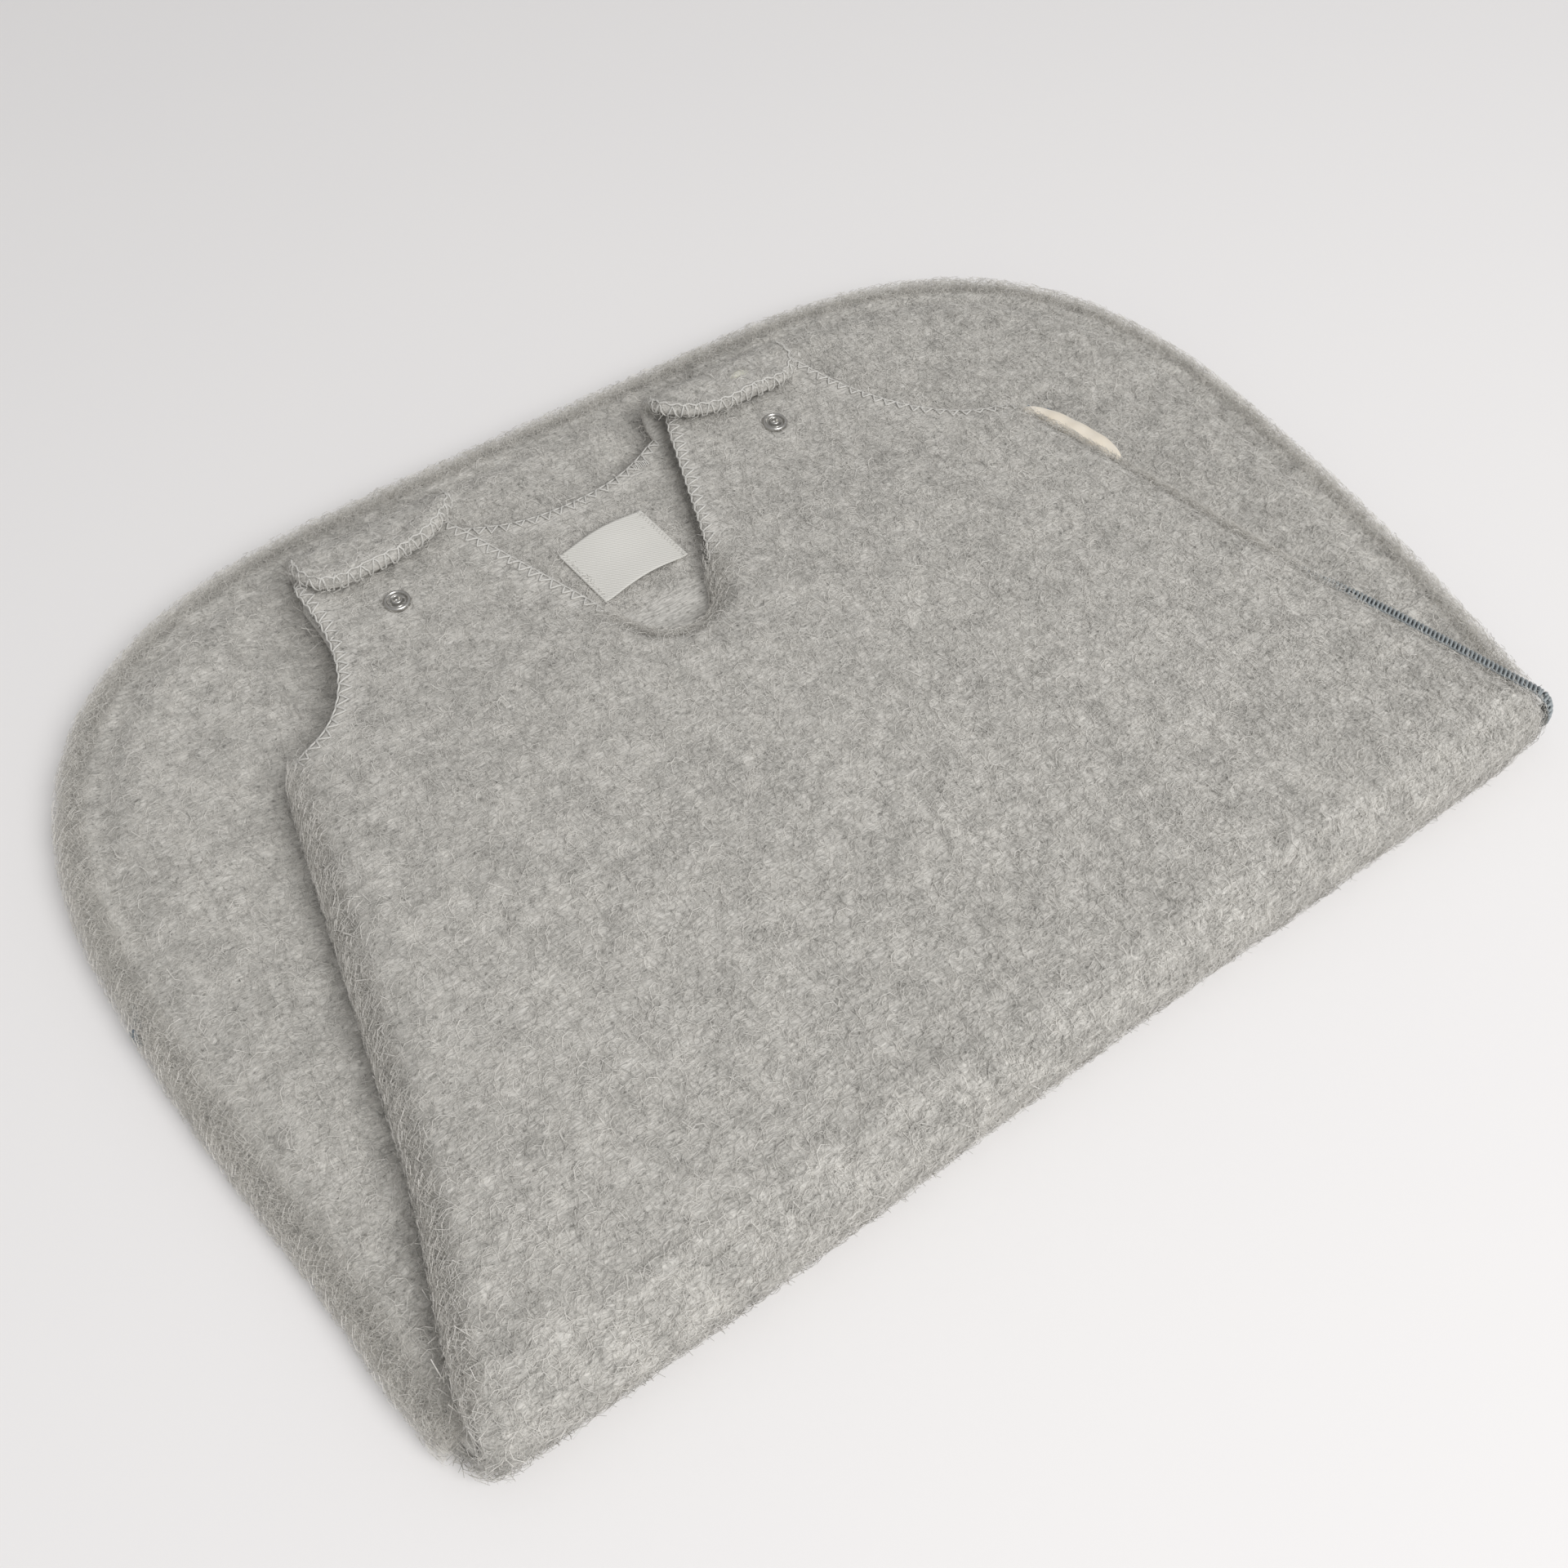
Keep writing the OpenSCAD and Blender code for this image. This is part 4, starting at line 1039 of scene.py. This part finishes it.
points = np.vstack(rings + [rings[0].mean(0)[None], rings[-1].mean(0)[None]])
n, m = len(rings), len(angles)
faces = [face for a, b, c, d in between_rings(n, m) for face in ((a, b, c), (a, c, d))]
faces += [(n * m, (j + 1) % m, j) for j in range(m)]
faces += [(n * m + 1, (n - 1) * m + j, (n - 1) * m + (j + 1) % m) for j in range(m)]
guard = mesh_piece("zip_hood", points, faces, cotton)
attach(guard, "upper_half")
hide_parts("zip_guard")

# ---- Edge stitching ----
# Every cut edge of the neck, armholes and straps is overcast with a pale grey woollen yarn:
# slanted stitches over the edge, with one thread lying along the edge itself.
YARN_R, YARN_SIDES, YARN_PALE, YARN_GREY = 0.36, 5, "#e6e4df", "#bbb9b4"
STITCH_PITCH, YARN_STEP, YARN_WAVE, YARN_LIFT = 5, 1.1, 0.25, 0.15
STITCH_OUT, STITCH_IN, STITCH_LINE, STRAP_STITCH_IN = 0.3, 4.4, 0.5, 1.7
DEPTH_SLIP, SIDE_SLIP = 0.1, 0.4

# Spun wool is matt and slightly uneven, with plies that catch the light.
yarn = two_tone(
    "Woollen sewing yarn", (YARN_GREY, YARN_PALE), "ShaderNodeTexNoise", 0.5, 3,
    {"Roughness": 0.85, "Sheen Weight": 0.2}, relief=(0.8, 0.15),
)

thread_inputs = {"Lines": "Geometry", "Thickness": "Float", "Yarn": "Material"}
thread_tree, given = new_group("threads", thread_inputs, "Threads")
runs = add_node(thread_tree, "GeometryNodeMeshToCurve", {"Mesh": given["Lines"]})
section = add_node(
    thread_tree, "GeometryNodeCurvePrimitiveCircle",
    {"Resolution": YARN_SIDES, "Radius": given["Thickness"]},
)
tubes = add_node(
    thread_tree, "GeometryNodeCurveToMesh", {"Curve": runs, "Profile Curve": section, "Fill Caps": True},
)
rounded = add_node(thread_tree, "GeometryNodeSetShadeSmooth", {0: tubes})
solid = add_node(thread_tree, "GeometryNodeRealizeInstances", {0: rounded})
finish_group(thread_tree, solid, given["Yarn"])


def threads(name, lines, radius=YARN_R):
    """Threads along lines of points in millimetres."""
    mesh = bpy.data.meshes.new(name)
    starts = np.cumsum([0] + [len(line) for line in lines])
    edges = [(a + i, a + i + 1) for a, line in zip(starts, lines) for i in range(len(line) - 1)]
    mesh.from_pydata((np.vstack(lines) * MM).tolist(), edges, [])
    made = baked(add_object(name, mesh), thread_tree, Thickness=radius * MM, Yarn=yarn)
    return made


def on_face(cloth, flat, depth, off=YARN_R + YARN_LIFT):
    """Points of a cloth's outer face, or of its lining where the depth is below nothing."""
    points, count = cloth.outer[0], len(cloth.flat)
    lining = np.where(cloth.rim[:, None], points[:count], points[count:])
    found = []
    for (x, y), deep in zip(flat, depth):
        spot, _, index, _ = cloth.tree.find_nearest((x, y, 0))
        triangle = cloth.faces[index]
        a, b, c = cloth.flat[triangle]
        share = np.linalg.solve(np.array([b - a, c - a]).T, np.array(spot[:2]) - a)
        share = np.array([1 - share.sum(), *share])
        layer = points[:count] if deep >= 0 else lining
        p, q, r = layer[triangle]
        up = np.cross(q - p, r - p) * cloth.side * (1 if deep >= 0 else -1)
        found.append(share @ np.array([p, q, r]) + up / max(np.linalg.norm(up), 1e-9) * off)
    return np.array(found)


def along_edge(cloth, wanted, step):
    """Runs of points along the wanted parts of a cloth's edge, with the way into the cloth."""
    start = int(np.argmin(wanted))
    edge, wanted = np.roll(cloth.edge, -start, axis=0), np.roll(wanted, -start)
    ways = -np.roll(outwards(cloth.edge), -start, axis=0)
    marks = np.flatnonzero(np.diff(np.concatenate([[0], wanted.astype(int), [0]])))
    found = []
    for a, b in zip(marks[::2], marks[1::2]):
        if b - a > 3:
            both = resampled(np.hstack([edge[a:b], ways[a:b]]), step, False)
            found.append((both[:, :2], both[:, 2:]))
    return found


def overcast(cloth, wanted, shallow, deep, line_at):
    """Slanted stitches between two depths, and the thread lying along the edge."""
    flat = [Vector((*point, 0)) for point in cloth.flat]
    cloth.tree = BVHTree.FromPolygons(flat, cloth.faces.tolist())
    chance = np.random.default_rng(5)
    lines = []
    for edge, inward in along_edge(cloth, wanted, STITCH_PITCH / 2):
        depth = np.where(np.arange(len(edge)) % 2, deep, shallow).astype(float)
        depth += chance.uniform(-DEPTH_SLIP, DEPTH_SLIP, len(edge)) * abs(deep - shallow)
        slipped = edge + chance.uniform(-SIDE_SLIP, SIDE_SLIP, edge.shape)
        zigzag = np.column_stack([slipped, inward, depth])
        fine = np.vstack([np.linspace(a, b, 6)[:-1] for a, b in zip(zigzag, zigzag[1:])])
        flat = fine[:, :2] + fine[:, 2:4] * np.abs(fine[:, 4:])
        lines.append(on_face(cloth, flat, fine[:, 4]))
    for edge, inward in along_edge(cloth, wanted, YARN_STEP):
        turn = np.arange(len(edge)) * YARN_STEP * 2 * math.pi / STITCH_PITCH
        wave = line_at + YARN_WAVE * np.sin(turn)
        lines.append(on_face(cloth, edge + inward * np.abs(wave)[:, None], wave))
    return lines


open_edge = front.sewn < 0.5
lines = overcast(front, open_edge, STITCH_OUT, STITCH_IN, STITCH_LINE)
front_threads = threads("front_edge_stitches", lines)
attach(front_threads, "upper_half")
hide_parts("front_neck_edging", "left_armhole_edging", "right_armhole_edging")
low, high = corners("back_neck_edging")
in_neck = (back.sewn < 0.5) & (back.edge[:, 0] > low[0] - 1) & (back.edge[:, 0] < high[0] + 1)
lines = overcast(back, in_neck, -STITCH_OUT, -STITCH_IN, -STITCH_LINE)
back_threads = threads("back_neck_stitches", lines)
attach(back_threads, "upper_half")
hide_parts("back_neck_edging")
for name, strap in strap_pieces.items():
    free = strap.edge[:, 1] > strap.turned - 3
    lines = overcast(strap, free, -STRAP_STITCH_IN, STRAP_STITCH_IN, STRAP_STITCH_IN)
    strap_threads = threads(name + "_stitches", lines)
    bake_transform(strap_threads)
    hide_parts(name + "_edging")

# A small bar of short stitches, side by side, holds the right end of the back neckline.
TACK_PITCH, TACK_R, TACK_UP, TACK_BOW = 0.75, 0.28, 0.1, (0.2, 0.35)
low, high = corners("neck_bar_tack")
mid_y, flat_z, bow_z = (low[1] + high[1]) / 2, high[2] + TACK_UP, high[2] + TACK_BOW[1]
bars = [
    np.array([(x, low[1], flat_z), (x + TACK_BOW[0], mid_y, bow_z), (x, high[1], flat_z)])
    for x in np.arange(low[0], high[0] + 0.1, TACK_PITCH)
]
tack = threads("bar_tack", bars, TACK_R)
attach(tack, "upper_half")
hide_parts("neck_bar_tack")

# The topstitching lies deep in the groove round the lower half.
DASH, DASH_R, DASH_UNDER, DASH_FROM_Y = 4, 0.25, 0.3, 25
DASH_SPAN, DASH_RISES = (0.1, 0.85), (-0.15, 0.12, 0.12, -0.15)
groove_edge = resampled(back.edge - outwards(back.edge) * STITCH_DEPTH, DASH, True)
y = np.abs(groove_edge[:, 1]) - back.bend
deep_enough = back.beside(groove_edge)[0] > STITCH_DEPTH * 0.97
stitched = (groove_edge[:, 1] < -back.bend) & (y > DASH_FROM_Y) & deep_enough & back.inside(groove_edge)
ways = np.roll(groove_edge, -1, axis=0) - groove_edge
lines = []
for point, way in zip(groove_edge[stitched], ways[stitched]):
    flat = point + way * np.linspace(*DASH_SPAN, 4)[:, None]
    dash = on_face(back, flat, np.ones(4), -DASH_UNDER)
    lines.append(dash + np.array(DASH_RISES)[:, None] * (0, 0, 1))
topstitch = threads("topstitching", lines, DASH_R)
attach(topstitch, "lower_half")

# ---- Snap fasteners ----
# Two nickel-plated spring studs on each shoulder of the front panel: a rolled outer ring, a
# dark groove and a hollow post, riveted through the fleece to a ring on its inner face.
STUD_SIDES = 36
STUD_PROFILE = (
    (0, 0.2), (0.9, 0.2), (1.2, 0.5), (1.35, 1.6), (1.6, 2), (1.9, 1.85), (2.1, 1.3), (2.2, 0.4),
    (2.6, 0.1), (3.3, 0.1), (3.6, 1), (3.9, 1.6), (4.4, 1.65), (4.85, 1.2), (5, 0.6), (4.85, 0),
)
STUD_HIGH = 2

# Plated brass is bright, with scuffs that dull its shine in places.
nickel = two_tone(
    "Nickel-plated brass", ("#a6a4a0", "#cfcdc9"), "ShaderNodeTexNoise", 0.8, 4, {"Metallic": 1},
    rough=(0.24, 0.42),
)

middle_x = np.mean([stud[0] for stud in stud_places])
spins = np.linspace(0, 2 * math.pi, STUD_SIDES + 1)[:-1]
for side in ("left", "right"):
    points, faces = [], []
    for x, y, z, radius in stud_places:
        if (x < middle_x) == (side == "left"):
            first = sum(map(len, points))
            ring = np.stack([np.cos(spins), np.sin(spins)], 1) * radius / STUD_PROFILE[-2][0]
            low = z - STUD_HIGH
            points.append(np.array([(x, y, low + STUD_PROFILE[0][1])]))
            for r, up in STUD_PROFILE[1:]:
                points.append(np.column_stack([ring * r + (x, y), np.full(STUD_SIDES, low + up)]))
            sides = np.array(between_rings(len(STUD_PROFILE) - 1, STUD_SIDES)) + first + 1
            faces += [(first, a, b) for a, b, c, d in sides[:STUD_SIDES]]
            faces += [face for a, b, c, d in sides for face in ((a, d, c), (a, c, b))]
            under = sides[-STUD_SIDES:]
            faces += [(under[0, 3], c, d) for a, b, c, d in under[1:-1]]
    studs = mesh_piece(side + "_snap_studs", np.vstack(points), faces, nickel)
    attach(studs, "upper_half")
    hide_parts(side + "_studs")

# The straps carry the sockets, each held by a plastic cap that the fleece almost hides.
# Moulded acetal is smooth and a little waxy.
cap_plastic = two_tone(
    "Cream acetal cap", ("#d9d3c1", "#e6e1d2"), "ShaderNodeTexNoise", 3, 3,
    {"IOR": 1.48, "Subsurface Weight": 0.1}, rough=(0.38, 0.5),
)
for node, material in (("_stud_rings", nickel), ("_socket", nickel), ("_cap", cap_plastic)):
    coat(("left" + node, "right" + node), material)

# ---- Label ----
# A blank woven label of off-white polyester twill, its short ends folded under and sewn to
# the inside of the back neck; the middle stands off the fleece in a low arch.
TWILL_MM, LABEL_T, LABEL_HEM, HEM_UP = 0.75, 0.45, 1.2, 0.35
LABEL_LIFT, ARCH_POWER, ARCH_SLACK, LABEL_WAVE = 0.15, 1.3, 1.015, 0.25

# Twill shows as fine slanting ribs, drawn wider than the real ones so that they can be seen.
twill, tree = new_material("Woven polyester twill")
place = add_node(tree, "ShaderNodeTexCoord").outputs["Object"]
ribs = add_node(
    tree, "ShaderNodeTexWave",
    {"Vector": place, "Scale": 0.444 / (TWILL_MM * MM), "Distortion": 0.25, "Detail": 2},
    bands_direction="DIAGONAL",
)
fuzz = add_node(tree, "ShaderNodeTexNoise", {"Vector": place, "Scale": 1 / (2 * MM), "Detail": 2})
tone = add_node(
    tree, "ShaderNodeMix", {0: ribs.outputs[1], 6: linear("#c6c4bd"), 7: linear("#efede8")},
    data_type="RGBA",
)
bump = add_node(
    tree, "ShaderNodeBump", {"Height": ribs.outputs[1], "Strength": 0.5, "Distance": 0.2 * MM},
)
rough = add_node(tree, "ShaderNodeMapRange", {"Value": fuzz, "To Min": 0.55, "To Max": 0.75})
shader = add_node(
    tree, "ShaderNodeBsdfPrincipled", {"Base Color": tone.outputs[2], "Roughness": rough, "Normal": bump},
)
add_node(tree, "ShaderNodeOutputMaterial", {0: shader})

cad_label = np.array([tuple(vertex.co) for vertex in frame["nodes"]["label"].data.vertices]) / MM
base_z = cad_label[:, 2].min() + LABEL_LIFT
rise = np.ptp(cad_label[:, 2]) - LABEL_T - 2 * LABEL_LIFT
picks = (cad_label[:, 0].argmin(), cad_label[:, 1].argmin(), cad_label[:, 1].argmax())
left, near, far = (cad_label[pick][:2] for pick in picks)
columns, rows = 61, 41
u, v = (grid.ravel() for grid in np.meshgrid(np.linspace(0, 1, columns), np.linspace(0, 1, rows)))
flat = left + u[:, None] * (far - left) + v[:, None] * (near - left)
width, height = np.linalg.norm(far - left), np.linalg.norm(near - left)
arch = rise * np.cos(math.pi * (u - 0.5)) ** ARCH_POWER
arch += LABEL_WAVE * np.sin(math.pi * u) * np.sin(2.2 * math.pi * v + 0.6)
hem = HEM_UP * (1 - smoothstep(np.minimum(u, 1 - u) * width, LABEL_HEM - 0.4, LABEL_HEM + 0.3))
under = np.column_stack([flat, base_z + arch])
over = under + np.column_stack([0 * u, 0 * u, LABEL_T + hem])
count, grid = columns * rows, np.arange(columns * rows).reshape(rows, columns)
a, b, c, d = (part.ravel() for part in (grid[:-1, :-1], grid[:-1, 1:], grid[1:, 1:], grid[1:, :-1]))
faces = [np.column_stack([a, d, c, b]), np.column_stack([a, b, c, d]) + count]
rim = np.concatenate([grid[0, :-1], grid[:-1, -1], grid[-1, :0:-1], grid[:0:-1, 0]])
after = np.roll(rim, -1)
faces.append(np.column_stack([rim, after, after + count, rim + count]))
label = mesh_piece("label_cloth", np.vstack([over, under]), np.vstack(faces), twill)
loops = np.zeros(len(label.data.loops), int)
label.data.loops.foreach_get("vertex_index", loops)
face_of = np.repeat(np.arange(len(label.data.polygons)) >= len(a), 4)
flat_map = np.column_stack([(np.tile(u, 2)[loops] + face_of) / 2, np.tile(v, 2)[loops]])
label.data.uv_layers.new(name="OFBake").data.foreach_set("uv", flat_map.ravel().astype(np.float32))
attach(label, "upper_half")
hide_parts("label")

# Pale thread sews down each short end with slanted stitches.
HEM_STITCH, HEM_YARN_R = 1.7, 0.12
ends = []
for across in (np.array([0.02, 0.02, 0.05, 0.05]), np.array([0.98, 0.98, 0.95, 0.95])):
    for k in np.arange(0.02, 0.97, HEM_STITCH / height):
        along = k + np.array([0, 0, 0.8, 0.8]) / height
        spot = left + across[:, None] * (far - left) + along[:, None] * (near - left)
        up = base_z + rise * np.cos(math.pi * (across - 0.5)) ** ARCH_POWER + LABEL_T + HEM_UP
        ends.append(np.column_stack([spot, up + np.array([-0.9, 0.15, 0.15, -0.6])]))
label_ends = threads("label_end_stitches", ends, HEM_YARN_R)
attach(label_ends, "upper_half")

# ---- Floor, light and camera ----
# A pale seamless sweep under and behind the bag, lit from above and in front by one broad
# soft light.
CAMERA_PLACE = (-0.21385, -0.29687, 0.46211)
CAMERA_TURN, CAMERA_DIP, CAMERA_ROLL = 35.7, 54.3, 0.7
CAMERA_LENS, CAMERA_SENSOR = 37.18, 36


def look_axes(turn, dip, roll):
    """A camera's axes from its turn to the right, its dip and its roll, in degrees."""
    turn, dip, roll = map(math.radians, (turn, dip, roll))
    ahead = Vector((math.sin(turn) * math.cos(dip), math.cos(turn) * math.cos(dip), -math.sin(dip)))
    right = Vector((math.cos(turn), -math.sin(turn), 0))
    up = right.cross(ahead)
    level, upright = right, up
    right = math.cos(roll) * level + math.sin(roll) * upright
    up = math.cos(roll) * upright - math.sin(roll) * level
    return Matrix((right, up, -ahead)).transposed()


camera = add_object("camera", bpy.data.cameras.new("camera"))
aim = look_axes(CAMERA_TURN, CAMERA_DIP, CAMERA_ROLL).to_4x4()
camera.matrix_world = Matrix.Translation(CAMERA_PLACE) @ aim
camera.data.lens, camera.data.sensor_width = CAMERA_LENS, CAMERA_SENSOR
camera.data.clip_start = 0.01
bpy.context.scene.camera = camera

FLOOR_COLOUR, BACKDROP_COLOUR = "#efedec", "#edebeb"

# Uncoated paper is matt, with hardly any grain.
paper, tree = new_material("Matt white paper sweep")
grain = add_node(tree, "ShaderNodeTexNoise", {"Scale": 40, "Detail": 4})
tone = add_node(
    tree, "ShaderNodeMix", {0: grain, 6: linear(FLOOR_COLOUR), 7: linear(BACKDROP_COLOUR)},
    data_type="RGBA",
)
uncoated = {"Base Color": tone.outputs[2], "Roughness": 0.9, "Specular IOR Level": 0.1}
matt = add_node(tree, "ShaderNodeBsdfPrincipled", uncoated)
add_node(tree, "ShaderNodeOutputMaterial", {0: matt})

SWEEP_HALF, SWEEP_BACK, SWEEP_R, SWEEP_TOP = 4, 3, 1, 4
profile = [(-SWEEP_HALF, 0)] + [
    (SWEEP_BACK + SWEEP_R * math.sin(turn), SWEEP_R * (1 - math.cos(turn)))
    for turn in np.linspace(0, math.pi / 2, 17)
]
profile.append((SWEEP_BACK + SWEEP_R, SWEEP_TOP))
points = np.array([(x, y, z) for y, z in profile for x in (-SWEEP_HALF, SWEEP_HALF)]) / MM
faces = [(2 * i, 2 * i + 1, 2 * i + 3, 2 * i + 2) for i in range(len(profile) - 1)]
sweep = mesh_piece("sweep", points, faces, paper)

LAMP_SIZE, LAMP_POWER, LAMP_PLACE, SKY = 1.6, 38, (0.2, -1.5, 1.75), 0.47
lamp = add_object("soft_light", bpy.data.lights.new("soft_light", "AREA"))
lamp.data.shape, lamp.data.size, lamp.data.energy = "DISK", LAMP_SIZE, LAMP_POWER
lamp.location = LAMP_PLACE
lamp.rotation_mode = "QUATERNION"
lamp.rotation_quaternion = (Vector((0, 0, 0)) - lamp.location).to_track_quat("-Z", "Y")
world = bpy.data.worlds.new("studio")
world.use_nodes = True
sky = world.node_tree.nodes["Background"]
sky.inputs[0].default_value, sky.inputs[1].default_value = (1, 1, 1, 1), SKY
bpy.context.scene.world = world
bpy.context.scene.view_settings.view_transform = "Standard"
